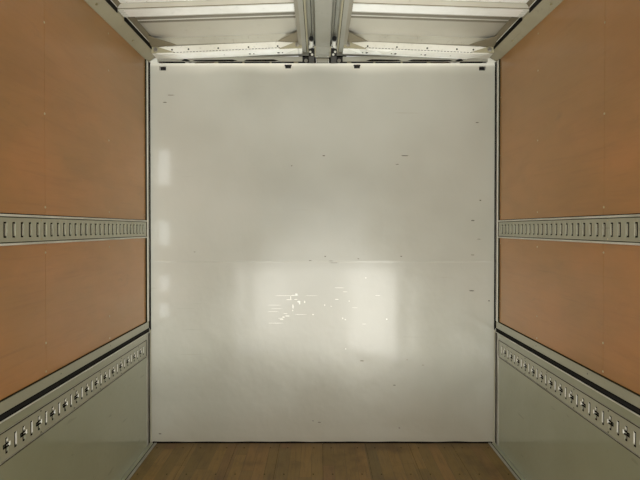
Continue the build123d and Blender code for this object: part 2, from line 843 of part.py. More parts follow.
def rod():
    """Rod of the front right cylinder with its eye."""
    y = y_front + cylinder_y
    z = floor_top + cylinder_height
    start_x = cylinder_base_x + bore_bottom + bore_end_gap
    bar = bar_along_x(start_x, cylinder_eye_x, y, z, rod_radius)
    eye = bar_along_y(cylinder_eye_x, z, eye_radius, y - rod_eye_width / 2, y + rod_eye_width / 2)
    hole = bar_along_y(cylinder_eye_x, z, pin_radius + pin_clearance,
                       y - rod_eye_width, y + rod_eye_width)
    side_cut_0 = box(cylinder_eye_x - eye_radius, cylinder_eye_x + eye_radius,
                     y + rod_eye_width / 2, y + 2 * rod_radius, z - eye_radius, z + eye_radius)
    side_cut_1 = box(cylinder_eye_x - eye_radius, cylinder_eye_x + eye_radius,
                     y - 2 * rod_radius, y - rod_eye_width / 2, z - eye_radius, z + eye_radius)
    return bar - side_cut_0 - side_cut_1 + eye - hole


def lamps():
    """Marker lamps high on both ends and tail lamps in the rear sill."""
    made = []
    z_rear = floor_top + frame_top - marker_below_top_rear
    z_front = floor_top + frame_top - marker_below_top_front
    front_y = front_face + sheet_depth
    for x in (marker_from_side - outer_x, outer_x - marker_from_side):
        made.append(box(x - marker_width / 2, x + marker_width / 2, rear_face - marker_depth, rear_face,
                        z_rear - marker_height / 2, z_rear + marker_height / 2))
        made.append(box(x - marker_width / 2, x + marker_width / 2, front_y, front_y + marker_depth,
                        z_front - marker_height / 2, z_front + marker_height / 2))
    z_tail = sill_height + tail_lamp_height / 2
    for x in (tail_lamp_from_side - outer_x, outer_x - tail_lamp_from_side):
        made.append(box(x - tail_lamp_width / 2, x + tail_lamp_width / 2,
                        rear_face - marker_depth, rear_face,
                        z_tail - tail_lamp_height / 2, z_tail + tail_lamp_height / 2))
    return made


root_nodes = {
    "subframe_sills": sills,
    "chassis_feet": feet,
    "cross_joists": joists,
    "floor_boards": boards,
    "side_rails": side_rails,
    "front_lining": front_lining,
    "front_frame": front_frame,
    "front_panel": front_panel,
    "rear_frame": rear_frame,
    "centre_beam": centre_beam,
    "cylinder_brackets": cylinder_brackets,
    "lamps": lamps,
}

right_side_nodes = {
    "wing_roof": wing_roof,
    "wing_rails": wing_rails,
    "wing_side": wing_side,
    "wing_lining": wing_lining,
    "wing_lashing_rail": wing_lashing_rail,
    "wing_end_frames": wing_end_frames,
    "wing_seals": wing_seals,
    "gate_panel": gate_panel,
    "gate_lashing_rail": gate_lashing_rail,
    "gate_fittings": gate_fittings,
    "door_leaf": door_leaf,
    "door_hardware": door_hardware,
}


def save(name, made):
    """Write one node's solids to its file."""
    shapes = made if isinstance(made, list) else [made]
    found = solids_of(shapes)
    whole = found[0] if len(found) == 1 else Compound(children=found)
    export_step(whole, f"parts/{name}.step")


def mirrored(made, plane):
    """The mirror image of a shape or a list of shapes."""
    shapes = made if isinstance(made, list) else [made]
    return [mirror(shape, about=plane) for shape in shapes]


os.makedirs("parts", exist_ok=True)
for name, make in root_nodes.items():
    save(name, make())
for name, make in right_side_nodes.items():
    made = make()
    save(f"{name}_right", made)
    save(f"{name}_left", mirrored(made, Plane.YZ))
for name, make in (("barrel", barrel), ("rod", rod)):
    front_right = make()
    rear_right = mirrored(front_right, Plane.XZ)
    save(f"{name}_front_right", front_right)
    save(f"{name}_front_left", mirrored(front_right, Plane.YZ))
    save(f"{name}_rear_right", rear_right)
    save(f"{name}_rear_left", mirrored(rear_right, Plane.YZ))
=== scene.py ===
import bpy
import bmesh
import json
import math
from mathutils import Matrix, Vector, noise


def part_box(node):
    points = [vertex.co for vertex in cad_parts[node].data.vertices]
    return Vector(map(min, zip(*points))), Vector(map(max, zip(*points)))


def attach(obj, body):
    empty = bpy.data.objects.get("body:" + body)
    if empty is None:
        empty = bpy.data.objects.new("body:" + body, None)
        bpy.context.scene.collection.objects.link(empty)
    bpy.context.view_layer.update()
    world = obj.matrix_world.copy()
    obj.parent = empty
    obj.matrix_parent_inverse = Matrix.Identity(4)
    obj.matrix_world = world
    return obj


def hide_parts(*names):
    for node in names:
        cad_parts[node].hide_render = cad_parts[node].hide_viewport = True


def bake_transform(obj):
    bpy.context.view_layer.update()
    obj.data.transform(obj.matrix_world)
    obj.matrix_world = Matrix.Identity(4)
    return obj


# Gull-wing load body of a box truck, in metres: +X right, +Y forward, +Z up.
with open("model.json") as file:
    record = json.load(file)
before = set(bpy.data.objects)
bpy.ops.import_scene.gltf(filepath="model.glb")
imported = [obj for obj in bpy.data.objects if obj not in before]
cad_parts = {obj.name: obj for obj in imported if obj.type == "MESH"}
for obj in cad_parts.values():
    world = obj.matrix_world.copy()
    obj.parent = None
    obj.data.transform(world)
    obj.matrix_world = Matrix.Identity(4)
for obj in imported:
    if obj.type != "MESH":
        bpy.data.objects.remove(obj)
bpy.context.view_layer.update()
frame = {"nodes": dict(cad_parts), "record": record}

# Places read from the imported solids: the x, y and z of their boxes' corners
BOARD_X, _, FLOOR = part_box("floor_boards")[1]
WALL_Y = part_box("front_lining")[0].y
WALL_X, WALL_BACK, WALL_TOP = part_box("front_lining")[1]
FRONT_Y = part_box("front_frame")[1].y
FRAME_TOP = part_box("front_panel")[1].z
_, REAR_Y, SILL_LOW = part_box("rear_frame")[0]
OUTER_X, STRIP_END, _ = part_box("wing_side_right")[1]
PLY_X, _, PLY_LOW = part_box("wing_lining_right")[0]
PLY_BACK, PLY_END, PLY_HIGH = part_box("wing_lining_right")[1]
RAIL_X, _, RAIL_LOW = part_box("wing_lashing_rail_right")[0]
RAIL_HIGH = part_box("wing_lashing_rail_right")[1].z
HINGE_RAIL_IN, _, WING_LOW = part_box("wing_rails_right")[0]
_, WING_END, ROOF_AT_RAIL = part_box("wing_rails_right")[1]
GATE_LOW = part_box("gate_panel_right")[0].z
_, GATE_END, GATE_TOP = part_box("gate_panel_right")[1]
GATE_RAIL_X, _, GATE_RAIL_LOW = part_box("gate_lashing_rail_right")[0]
GATE_RAIL_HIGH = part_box("gate_lashing_rail_right")[1].z
BEAM_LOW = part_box("centre_beam")[0].z
BEAM_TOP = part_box("centre_beam")[1].z
ROOF_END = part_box("wing_roof_right")[1].y
DOOR_IN, DOOR_FAR, DOOR_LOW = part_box("door_leaf_right")[0]
DOOR_OUT, DOOR_NEAR, DOOR_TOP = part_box("door_leaf_right")[1]

# Sizes shared with the solids
CAMBER = 0.034
HINGE_RAIL_OUT = HINGE_RAIL_IN + 0.042
HINGE_RAIL_DEPTH = 0.065
SHOULDER_IN = OUTER_X - 0.096
SHOULDER_FOOT = OUTER_X - 0.025
SHOULDER_RISE = 0.044
SKIN = 0.003
RIB_DEPTH = 0.037
RIB_WIDTH = 0.094
RIB_FLANGE = 0.145
END_BAR_WIDTH = 0.110
END_BAR_DROP = 0.078
SHEET_WIDTH = 1.220
SHEET_FIRST = WALL_Y - 1.212
LASH_PITCH = 0.050
CYLINDER_Y = WALL_Y + 0.050
CYLINDER_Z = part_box("cylinder_brackets")[1].z - 0.026
PIN_X = 0.115
EYE_X = 0.925
SIDES = (("right", 1), ("left", -1))
ENDS = (("front", 1), ("rear", -1))


def roof_inside(x):
    """Height of the roof skin's inner face."""
    return ROOF_AT_RAIL - CAMBER * (abs(x) - HINGE_RAIL_IN)


def spread(first, last, count):
    """Evenly spaced places from first to last."""
    return [first + (last - first) * i / (count - 1) for i in range(count)]


RIB_PLACES = spread(WALL_Y - 0.600, 0.600 - WALL_Y, 9)


# Mesh helpers
def grid_faces(rows, columns):
    """Faces between rows of points."""
    starts = [i * columns + j for i in range(rows - 1) for j in range(columns - 1)]
    return [(a, a + 1, a + columns + 1, a + columns) for a in starts]


def spoke(side, up, turn):
    """A direction at a share of a whole turn."""
    angle = 2 * math.pi * turn
    return side * math.cos(angle) + up * math.sin(angle)


class Shape:
    """Faces gathered for one piece. Their sides are set right in piece()."""

    def __init__(self):
        self.verts = []
        self.faces = []

    def add(self, verts, faces):
        base = len(self.verts)
        self.verts.extend(Vector(v) for v in verts)
        self.faces.extend([base + i for i in face] for face in faces)
        return self

    def tube(self, verts, sides, turn=1):
        """Rings of points one after another, closed at both ends."""
        last = len(verts) - sides
        faces = [(r + k, r + (k + 1) % sides, r + sides + (k + 1) % sides, r + sides + k)
                 for r in range(0, last, sides) for k in range(sides)]
        return self.add(verts, faces + [range(sides)[::turn], range(last, last + sides)[::-turn]])

    def prism(self, outline, along, start, end):
        """A closed outline of pairs run along one axis."""
        at = "xyz".index(along)
        return self.tube([(*pair[:at], t, *pair[at:]) for t in (start, end) for pair in outline],
                         len(outline))

    def rail(self, outline, reach):
        """An outline in x and z run as far to the rear as to the front."""
        return self.prism(outline, "y", -reach, reach)

    def block(self, x0, x1, y0, y1, z0, z1):
        corners = [(x, y, z) for x in (x0, x1) for y in (y0, y1) for z in (z0, z1)]
        return self.add(corners, [(0, 1, 3, 2), (4, 6, 7, 5), (0, 4, 5, 1), (2, 3, 7, 6), (0, 2, 6, 4), (1, 5, 7, 3)])

    def bar(self, x0, x1, reach, z0, z1):
        """A block as long to the rear as to the front."""
        return self.block(x0, x1, -reach, reach, z0, z1)

    def turned(self, start, axis, profile, sides=12):
        """Rings of (distance along the axis, radius) about an axis from start."""
        along = Vector(axis).normalized()
        side = along.orthogonal().normalized()
        up = along.cross(side)
        return self.tube([Vector(start) + along * distance + spoke(side, up, k / sides) * radius
                          for distance, radius in profile for k in range(sides)], sides, -1)

    def swept(self, path, radius, sides=8):
        """A round bar or pipe along a path of points."""
        points = [Vector(p) for p in path]
        verts = []
        side = (points[1] - points[0]).orthogonal()
        for i, point in enumerate(points):
            ahead = (points[min(i + 1, len(points) - 1)] - points[max(i - 1, 0)]).normalized()
            side = (side - ahead * side.dot(ahead)).normalized()
            up = ahead.cross(side)
            verts += [point + spoke(side, up, k / sides) * radius for k in range(sides)]
        return self.tube(verts, sides, -1)

    def mirrored(self, sx=1, sy=1):
        """A copy mirrored left to right or front to rear."""
        order = -1 if sx * sy < 0 else 1
        return Shape().add([(v.x * sx, v.y * sy, v.z) for v in self.verts], [face[::order] for face in self.faces])

    def doubled(self, sx=1, sy=1):
        """The shape together with its mirror image."""
        other = self.mirrored(sx, sy)
        return self.add(other.verts, other.faces)


def set_sides(mesh, work, angle):
    """Turns the faces outwards, and smooths the edges that are flatter than an angle."""
    bmesh.ops.recalc_face_normals(work, faces=work.faces)
    work.to_mesh(mesh)
    work.free()
    mesh.shade_smooth()
    mesh.set_sharp_from_angle(angle=math.radians(angle))


def piece(name, shape, body, slot, material=None, bevel=0.0, replaces=()):
    """One named object from a shape, riding on a body, in its slot's material or another."""
    mesh = bpy.data.meshes.new(name)
    mesh.from_pydata([tuple(v) for v in shape.verts], [], shape.faces)
    work = bmesh.new()
    work.from_mesh(mesh)
    set_sides(mesh, work, 35)
    mesh.materials.append(material or MAT[slot])
    made = bpy.data.objects.new(name, mesh)
    bpy.context.scene.collection.objects.link(made)
    if bevel:
        edge = made.modifiers.new("bevel", "BEVEL")
        edge.width = bevel
        edge.segments = 2
        edge.limit_method = "ANGLE"
        edge.harden_normals = False
    if body:
        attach(made, body)
    if replaces:
        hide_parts(*replaces)
    return made


def on_root(name, shape, *rest):
    return piece(name, shape, "root", *rest)


def on_pair(name, shape, slot, material=None, bevel=0.0, body="wing", replaces=None):
    """A right-hand shape made on both sides."""
    for side, s in SIDES:
        nodes = [f"{replaces}_{side}"] if replaces else []
        piece(f"{name}_{side}", shape.mirrored(s), f"{body}_{side}", slot, material, bevel, nodes)


def block(*limits):
    return Shape().block(*limits)


def bar(*limits):
    return Shape().bar(*limits)


def rail(outline, reach):
    return Shape().rail(outline, reach)


def screw_head(shape, place, axis, radius=0.0045, height=0.0015):
    """A low domed head with a small sunk centre standing on a face."""
    profile = ((-0.5, 1.0), (0.35, 1.0), (0.8, 0.72), (1.0, 0.30), (0.45, 0.16))
    shape.turned(place, axis, [(height * a, radius * b) for a, b in profile], 10)


def rivet(shape, place, axis, radius=0.0055):
    """A dome rivet with its pulled centre."""
    profile = ((-0.0008, 1.0), (0.0007, 1.0), (0.0020, 0.80), (0.0028, 0.42), (0.0022, 0.25))
    shape.turned(place, axis, [(a, radius * b) for a, b in profile], 10)


def bolt(shape, place, axis, radius=0.011, height=0.007):
    """A hexagon head on its washer."""
    washer = ((-0.0008, 1.55), (0.0018, 1.55), (0.0022, 1.42))
    shape.turned(place, axis, [(a, radius * b) for a, b in washer], 16)
    shape.turned(place, axis, [(0.0016, radius), (height, radius), (height + 0.0012, radius * 0.82)], 6)


def fittings(make, xs, ys, zs, axis, *size):
    """A screw or rivet at every place of a grid."""
    heads = Shape()
    for x in xs:
        for y in ys:
            for z in zs:
                make(heads, (x, y, z), axis, *size)
    return heads


# Material helpers
def srgb(red, green, blue):
    """A screen colour of 0 to 255 as linear values."""
    linear = []
    for part in (red, green, blue):
        value = part / 255
        linear.append(value / 12.92 if value <= 0.04045 else ((value + 0.055) / 1.055) ** 2.4)
    return (*linear, 1.0)


class Finish:
    """A node material about one Principled shader. Its colours are given as on a screen."""

    def __init__(self, name, roughness=0.5, metallic=0.0, coat=0.0, coat_roughness=0.1, specular=0.5):
        self.mat = bpy.data.materials.new(name)
        self.mat.use_nodes = True
        self.tree = self.mat.node_tree
        self.shader = self.tree.nodes["Principled BSDF"].inputs
        self.shader["Roughness"].default_value = roughness
        self.shader["Metallic"].default_value = metallic
        self.shader["Coat Weight"].default_value = coat
        self.shader["Coat Roughness"].default_value = coat_roughness
        self.shader["Specular IOR Level"].default_value = specular
        self.place = self.node("TexCoord").outputs["Object"]

    def set(self, socket, value):
        if isinstance(value, bpy.types.NodeSocket):
            self.tree.links.new(value, socket)
        else:
            socket.default_value = srgb(*value) if isinstance(value, tuple) else value

    def node(self, kind, **inputs):
        made = self.tree.nodes.new("ShaderNode" + kind)
        for name, value in inputs.items():
            self.set(made.inputs[name], value)
        return made

    def stretched(self, scale, offset):
        """The object's own coordinates times a scale for each axis."""
        node = self.node("Mapping", Vector=self.place)
        node.inputs["Scale"].default_value = scale
        node.inputs["Location"].default_value = offset
        return node.outputs["Vector"]

    def noise(self, scale, detail=4.0, rough=0.55, stretch=(1, 1, 1), offset=(0, 0, 0), distort=0.0):
        return self.node("TexNoise", Vector=self.stretched(stretch, offset), Scale=scale,
                         Detail=detail, Roughness=rough, Distortion=distort).outputs["Fac"]

    def cells(self, scale, stretch, offset):
        return self.node("TexVoronoi", Vector=self.stretched(stretch, offset),
                         Scale=scale).outputs["Distance"]

    def axes(self):
        return self.node("SeparateXYZ", Vector=self.place).outputs

    def math(self, operation, a, b=0.0, c=0.0):
        node = self.node("Math")
        node.operation = operation
        for i, value in enumerate((a, b, c)):
            self.set(node.inputs[i], value)
        return node.outputs["Value"]

    def plus(self, a, b):
        return self.math("ADD", a, b)

    def times(self, a, b):
        return self.math("MULTIPLY", a, b)

    def from_half(self, value):
        """How far a number's fraction is from a half."""
        return self.math("ABSOLUTE", self.math("SUBTRACT", self.math("FRACT", value), 0.5))

    def random_of(self, a, b):
        """A random value for each pair of whole numbers."""
        join = self.node("CombineXYZ", X=a, Y=b)
        node = self.node("TexWhiteNoise")
        node.noise_dimensions = "2D"
        self.set(node.inputs["Vector"], join.outputs["Vector"])
        return node.outputs["Value"]

    def step(self, value, low, high):
        """0 below low, 1 above high, or the other way round where low is the larger."""
        node = self.node("MapRange", Value=value)
        node.interpolation_type = "SMOOTHSTEP"
        node.inputs["From Min"].default_value = min(low, high)
        node.inputs["From Max"].default_value = max(low, high)
        node.inputs["To Min"].default_value = 1.0 if low > high else 0.0
        node.inputs["To Max"].default_value = 0.0 if low > high else 1.0
        return node.outputs["Result"]

    def between(self, value, low, high):
        """A number that runs from low to high as value runs from 0 to 1."""
        node = self.node("MapRange", Value=value)
        node.inputs["To Min"].default_value = low
        node.inputs["To Max"].default_value = high
        return node.outputs["Result"]

    def mix(self, share, a, b):
        node = self.node("Mix")
        node.data_type = "RGBA"
        for name, value in (("Factor", share), ("A", a), ("B", b)):
            self.set(node.inputs[name], value)
        return node.outputs["Result"]

    def tint(self, tone, value, low, high, share, colour):
        """A tone taken a share of the way to a colour where value has gone from low to high."""
        return self.mix(self.times(self.step(value, low, high), share), tone, colour)

    def bump(self, height, distance=0.001):
        node = self.node("Bump", Strength=1.0, Distance=distance, Height=height)
        self.tree.links.new(node.outputs["Normal"], self.shader["Normal"])

    def colour(self, value):
        self.set(self.shader["Base Color"], value)

    def rough(self, value):
        self.set(self.shader["Roughness"], value)


def painted(name, light, dark, roughness=0.35, grime=0.35, coat=0.0, ripple=0.0004, scratches=0.3):
    """Paint on metal with soft dirt, rubbed patches and fine scratches."""
    f = Finish(name, roughness, coat=coat)
    speck = f.noise(38.0, 4.0, 0.7)
    rub = f.noise(9.0, 3.0, 0.5, stretch=(1, 0.25, 1), offset=(3, 1, 2))
    lines = f.noise(60.0, 2.0, 0.4, stretch=(1, 0.03, 1), offset=(1, 5, 2))
    tone = f.mix(f.step(f.noise(1.7, 5.0, 0.6), 0.35, 0.72), light, dark)
    tone = f.tint(tone, speck, 0.56, 0.78, grime, (84, 74, 58))
    f.colour(f.tint(tone, lines, 0.70, 0.74, scratches, (120, 112, 96)))
    f.rough(f.between(rub, roughness - 0.08, roughness + 0.16))
    f.bump(f.plus(rub, f.times(speck, 0.15)), ripple)
    return f.mat


def anodised(name, light, dark, coat, coat_roughness):
    """Grey-green coated sheet: even, with soft clouding, dust and a gloss, painted shade on the left side and painted
    light towards the front wall.
    """
    f = Finish(name, 0.45, 0.10, coat, coat_roughness)
    x, y, _ = f.axes()
    cloud = f.noise(1.3, 3.0, 0.5, offset=(2, 7, 4))
    dust = f.noise(34.0, 5.0, 0.7, offset=(5, 0, 1))
    scratch = f.noise(50.0, 2.0, 0.4, stretch=(1, 0.10, 0.5), offset=(1, 5, 2), distort=0.4)
    tone = f.mix(f.step(cloud, 0.30, 0.72), light, dark)
    # Painted shade: darker olive on the left side. Painted light: paler towards the front wall.
    tone = f.tint(tone, x, 0.5, -0.5, 0.14, (102, 104, 62))
    tone = f.tint(tone, y, 1.2, 3.0, 0.26, (184, 188, 170))
    tone = f.tint(tone, dust, 0.58, 0.82, 0.15, (96, 92, 70))
    f.colour(f.tint(tone, scratch, 0.72, 0.76, 0.25, (94, 92, 74)))
    f.rough(f.between(dust, 0.38, 0.56))
    f.bump(f.plus(cloud, f.times(dust, 0.02)), 0.004)
    return f.mat


def metal(name, light, dark, roughness=0.35, metallic=0.75, grime=0.3):
    """Bare or plated metal with a drawn grain, dull patches and dust."""
    f = Finish(name, roughness, metallic)
    grain = f.noise(120.0, 3.0, 0.5, stretch=(1, 0.04, 1))
    patch = f.noise(4.5, 5.0, 0.62, offset=(2, 7, 4))
    dust = f.noise(26.0, 5.0, 0.7, offset=(5, 0, 1))
    tone = f.mix(f.step(patch, 0.32, 0.70), light, dark)
    f.colour(f.tint(tone, dust, 0.55, 0.80, grime, (96, 86, 66)))
    f.rough(f.plus(f.between(grain, roughness - 0.10, roughness + 0.08), f.between(patch, 0.0, 0.12)))
    f.bump(f.plus(f.times(grain, 0.5), f.times(patch, 1.5)), 0.0002)
    return f.mat


def wall_finish():
    """Off-white enamel on the dented front wall: painted shade to the right and painted light to the left, a painted
    highlight along the top fold, darker towards the floor with a brown stain, scuffs, chips.
    """
    f = Finish("front_wall_enamel", 0.34, coat=0.55, coat_roughness=0.14)
    x, _, z = f.axes()
    broad = f.noise(2.4, 3.0, 0.5, offset=(3, 0, 2))
    cloud = f.noise(1.1, 3.0, 0.5, offset=(1, 0, 5))
    tone = f.mix(f.step(cloud, 0.30, 0.72), (174, 171, 158), (158, 155, 141))
    # Painted shade: darker towards the right side. Painted light: paler towards the left side.
    tone = f.tint(tone, x, 0.25, 1.20, 0.30, (142, 137, 120))
    tone = f.tint(tone, x, -0.45, -1.15, 0.40, (200, 196, 182))
    # Painted highlight: a pale band along the top fold, strongest in the middle, and a pale line at the fold.
    fold = f.plus(z, f.between(broad, -0.040, 0.040))
    side = f.between(f.step(f.math("ABSOLUTE", x), 1.25, 0.30), 0.25, 0.62)
    tone = f.tint(tone, fold, FLOOR + 2.550, FLOOR + 2.640, side, (222, 217, 200))
    tone = f.tint(tone, z, FLOOR + 2.612, FLOOR + 2.634, 0.75, (226, 222, 206))
    # Darker towards the floor.
    height = f.plus(z, f.between(broad, -0.12, 0.12))
    tone = f.tint(tone, height, FLOOR + 0.78, FLOOR + 0.32, 0.55, (112, 107, 92))
    stain = f.plus(height, f.times(f.step(x, -0.9, 0.2), -0.10))
    tone = f.tint(tone, stain, FLOOR + 0.40, FLOOR - 0.12, 0.45, (100, 84, 60))
    scrape = f.noise(52.0, 2.0, 0.45, stretch=(0.05, 1, 1), offset=(0, 0, 3))
    band = f.step(f.noise(1.6, 3.0, 0.5, offset=(7, 0, 1)), 0.50, 0.66)
    marks = f.times(f.step(scrape, 0.69, 0.74), band)
    tone = f.mix(f.times(marks, 0.16), tone, (120, 112, 94))
    chip = f.cells(7.0, stretch=(0.6, 1, 1.6), offset=(2, 0, 4))
    pick = f.step(f.noise(2.2, 2.0, 0.5, offset=(4, 0, 9)), 0.56, 0.60)
    chips = f.times(f.step(chip, 0.040, 0.022), pick)
    f.colour(f.mix(f.times(chips, 0.6), tone, (80, 70, 56)))
    f.rough(f.between(f.noise(3.5, 5.0, 0.6, offset=(9, 0, 0)), 0.28, 0.42))
    ripple = f.noise(5.0, 3.0, 0.45, stretch=(1, 1, 0.8), offset=(0, 0, 8))
    wrinkle = f.noise(11.0, 3.0, 0.5, offset=(5, 0, 2))
    low_part = f.step(z, FLOOR + 1.45, FLOOR + 1.20)
    lumps = f.times(wrinkle, f.between(low_part, 0.10, 0.30))
    f.bump(f.plus(f.plus(ripple, lumps), f.times(f.noise(14.0, 5.0, 0.6), 0.03)), 0.0065)
    return f.mat


def plywood_finish():
    """Varnished plywood: a fine grain along the body, soft mottling, smudges and scuffs, painted light towards the
    front end and a deeper brown towards the top.
    """
    f = Finish("lining_plywood", 0.5, coat=0.55, coat_roughness=0.22)
    cloud = f.noise(1.9, 5.0, 0.6, stretch=(1, 0.6, 1))
    grain = f.noise(70.0, 4.0, 0.6, stretch=(1, 0.05, 1), distort=0.3)
    figure = f.noise(7.0, 5.0, 0.62, stretch=(1, 0.22, 1), offset=(3, 2, 1), distort=0.6)
    smudge = f.noise(5.0, 5.0, 0.7, stretch=(1, 0.5, 1.3), offset=(8, 3, 6))
    scuff = f.noise(45.0, 2.0, 0.5, stretch=(1, 0.035, 1), offset=(4, 8, 3))
    _, y, z = f.axes()
    tone = f.mix(f.step(cloud, 0.32, 0.70), (183, 123, 62), (161, 114, 55))
    tone = f.tint(tone, figure, 0.42, 0.72, 0.26, (142, 96, 54))
    tone = f.tint(tone, grain, 0.48, 0.78, 0.16, (112, 76, 42))
    tone = f.tint(tone, smudge, 0.60, 0.76, 0.32, (92, 72, 44))
    tone = f.tint(tone, scuff, 0.71, 0.76, 0.16, (96, 70, 42))
    # Painted light: paler towards the front wall. Deeper brown towards the top.
    tone = f.tint(tone, y, 1.6, 3.0, 0.30, (204, 166, 118))
    f.colour(f.tint(tone, z, FLOOR + 1.8, FLOOR + 2.6, 0.45, (134, 96, 36)))
    f.rough(f.between(figure, 0.42, 0.62))
    f.bump(f.plus(f.times(grain, 0.6), f.times(figure, 0.8)), 0.0005)
    return f.mat


def floor_finish():
    """Hardwood staves glued side by side, worn and oiled, with dark joints, and darker along the foot of the wall."""
    f = Finish("floor_staves", 0.55)
    stave_width = 0.072
    stave_length = 0.92
    x, y, _ = f.axes()
    across = f.math("DIVIDE", x, stave_width)
    column = f.math("FLOOR", across)
    shift = f.random_of(column, 7.0)
    along = f.plus(f.math("DIVIDE", y, stave_length), f.times(shift, 5.0))
    row = f.math("FLOOR", along)
    pick = f.random_of(row, column)
    grain = f.noise(85.0, 4.0, 0.6, stretch=(1, 0.06, 1), distort=0.5)
    dirt = f.noise(3.2, 6.0, 0.68, offset=(3, 4, 0))
    tone = f.mix(f.step(f.random_of(column, row), 0.0, 1.0), (111, 88, 43), (127, 99, 49))
    tone = f.tint(tone, pick, 0.72, 1.0, 0.50, (128, 88, 56))
    tone = f.tint(tone, pick, 0.35, 0.0, 0.40, (92, 80, 46))
    tone = f.tint(tone, grain, 0.45, 0.75, 0.42, (62, 46, 30))
    tone = f.tint(tone, dirt, 0.46, 0.72, 0.55, (70, 56, 38))
    # Darker along the foot of the wall.
    to_wall = f.plus(y, f.between(dirt, -0.10, 0.10))
    tone = f.tint(tone, to_wall, WALL_Y - 0.14, WALL_Y, 0.50, (70, 52, 32))
    edge = f.step(f.from_half(across), 0.470, 0.495)
    butt = f.step(f.from_half(along), 0.4975, 0.4992)
    joint = f.math("MAXIMUM", edge, butt)
    f.colour(f.mix(f.times(joint, 0.35), tone, (50, 40, 26)))
    f.rough(f.between(dirt, 0.40, 0.68))
    f.bump(f.plus(f.times(joint, -1.0), f.times(grain, 0.35)), 0.0012)
    return f.mat


def skin_finish():
    """Thin roof sheet, satin with broad soft ripples."""
    f = Finish("roof_sheet", 0.30, 0.35)
    cloud = f.noise(1.6, 4.0, 0.55, stretch=(1, 0.6, 1))
    wave = f.noise(2.6, 3.0, 0.5, stretch=(0.7, 1, 1), offset=(2, 3, 0), distort=0.4)
    stain = f.noise(18.0, 5.0, 0.7, offset=(6, 1, 0))
    tone = f.mix(f.step(cloud, 0.34, 0.70), (199, 194, 178), (183, 177, 160))
    f.colour(f.tint(tone, stain, 0.60, 0.80, 0.25, (120, 108, 84)))
    f.rough(f.between(stain, 0.24, 0.40))
    f.bump(f.plus(wave, f.times(stain, 0.01)), 0.012)
    return f.mat


def rubber_finish():
    """Dusty black rubber with a fine skin."""
    f = Finish("black_rubber_skin", 0.85, specular=0.15)
    dust = f.noise(30.0, 6.0, 0.7)
    f.colour(f.tint((20, 19, 16), dust, 0.50, 0.78, 0.35, (52, 47, 38)))
    f.rough(f.between(dust, 0.62, 0.88))
    f.bump(f.noise(320.0, 2.0, 0.5), 0.0003)
    return f.mat


def painted_shade_finish(name, light, dark):
    """Matt dark colour for painted shade in grooves, gaps and folds, and for dark joints, seams and screw heads."""
    f = Finish(name, 0.95, specular=0.08)
    dust = f.noise(40.0, 5.0, 0.7)
    f.colour(f.mix(f.step(dust, 0.45, 0.80), dark, light))
    f.bump(dust, 0.0003)
    return f.mat


def lens_finish(name, light, dark, glow):
    """A ribbed plastic lens over its reflector."""
    f = Finish(name, 0.12, coat=0.6, coat_roughness=0.05)
    ribs = f.from_half(f.times(f.axes()["X"], 140.0))
    f.colour(f.mix(f.times(ribs, 2.0), light, dark))
    f.set(f.shader["Emission Color"], light)
    f.set(f.shader["Emission Strength"], glow)
    f.bump(ribs, 0.0008)
    return f.mat


MAT = {
    "frame_steel": painted("chassis_black", (52, 51, 49), (38, 37, 36), 0.55, 0.5),
    "floor_wood": floor_finish(),
    "bare_metal": metal("edge_rail_metal", (178, 174, 164), (150, 146, 134), 0.42, 0.6),
    "white_sheet": wall_finish(),
    "white_frame": painted("frame_white", (226, 222, 208), (206, 201, 184), 0.34, 0.25),
    "white_outside": painted("outside_white", (224, 224, 221), (214, 214, 210), 0.22, 0.12, 0.3, 0.0003, 0.1),
    "grey_paint": painted("satin_grey", (159, 151, 122), (145, 137, 108), 0.38, 0.3, 0.3),
    "black_paint": painted("satin_black", (34, 33, 32), (22, 22, 22), 0.38, 0.35),
    "lamp_plastic": lens_finish("amber_lens", (214, 116, 30), (150, 70, 14), 0.05),
    "roof_aluminium": skin_finish(),
    "plywood": plywood_finish(),
    "lashing_steel": anodised("lashing_zinc", (169, 166, 142), (155, 152, 128), 0.6, 0.16),
    "black_rubber": rubber_finish(),
    "gate_aluminium": anodised("gate_sheet", (154, 154, 127), (140, 141, 112), 1.0, 0.10),
    "fittings_steel": metal("zinc_fittings", (204, 202, 194), (170, 166, 154), 0.30, 0.85),
    "chromed_rod": metal("ground_chrome", (226, 226, 224), (204, 204, 202), 0.10, 1.0, 0.1),
}
# Painted light: a very pale metal for the rib and end bar undersides, also used on the wing end strips.
PALE_LIT_METAL = metal("pale_metal_painted_light", (250, 248, 238), (236, 233, 220), 0.34, 0.2, 0.15)
# Painted shade: a dark olive for coves, gusset webs and rib edges.
SHADE_OLIVE = painted("olive_painted_shade", (122, 112, 88), (106, 96, 74), 0.5, 0.3)
# Painted shade in the end bars' coves.
COVE_SHADE = painted("cove_painted_shade", (166, 160, 140), (150, 144, 124), 0.45, 0.3)
# Painted shade: a darker grey for lap strips, folds, the hinge rail skirts and the beam's end plate.
SHADE_GREY = painted("grey_painted_shade", (140, 134, 116), (128, 122, 104), 0.45, 0.3)
BRIGHT_EDGE = metal("bright_edge", (226, 225, 214), (200, 198, 184), 0.34, 0.25, 0.15)
PAINT_CHIP = painted("chip_primer", (84, 76, 62), (58, 52, 42), 0.7, 0.2)
# Painted highlights: pale flakes and faces that stand in for glints.
PAINTED_GLINT = painted("painted_glint", (240, 238, 228), (226, 224, 212), 0.3, 0.0)
RED_LENS = lens_finish("red_lens", (176, 22, 16), (110, 10, 8), 0.05)
CLEAR_LENS = lens_finish("clear_lens", (226, 226, 222), (180, 180, 176), 0.02)
# A dark grey for joints, seams and screw heads, and for painted shade.
DARK_GREY_AND_SHADE = painted_shade_finish("dark_grey_and_shade", (66, 62, 46), (48, 45, 32))

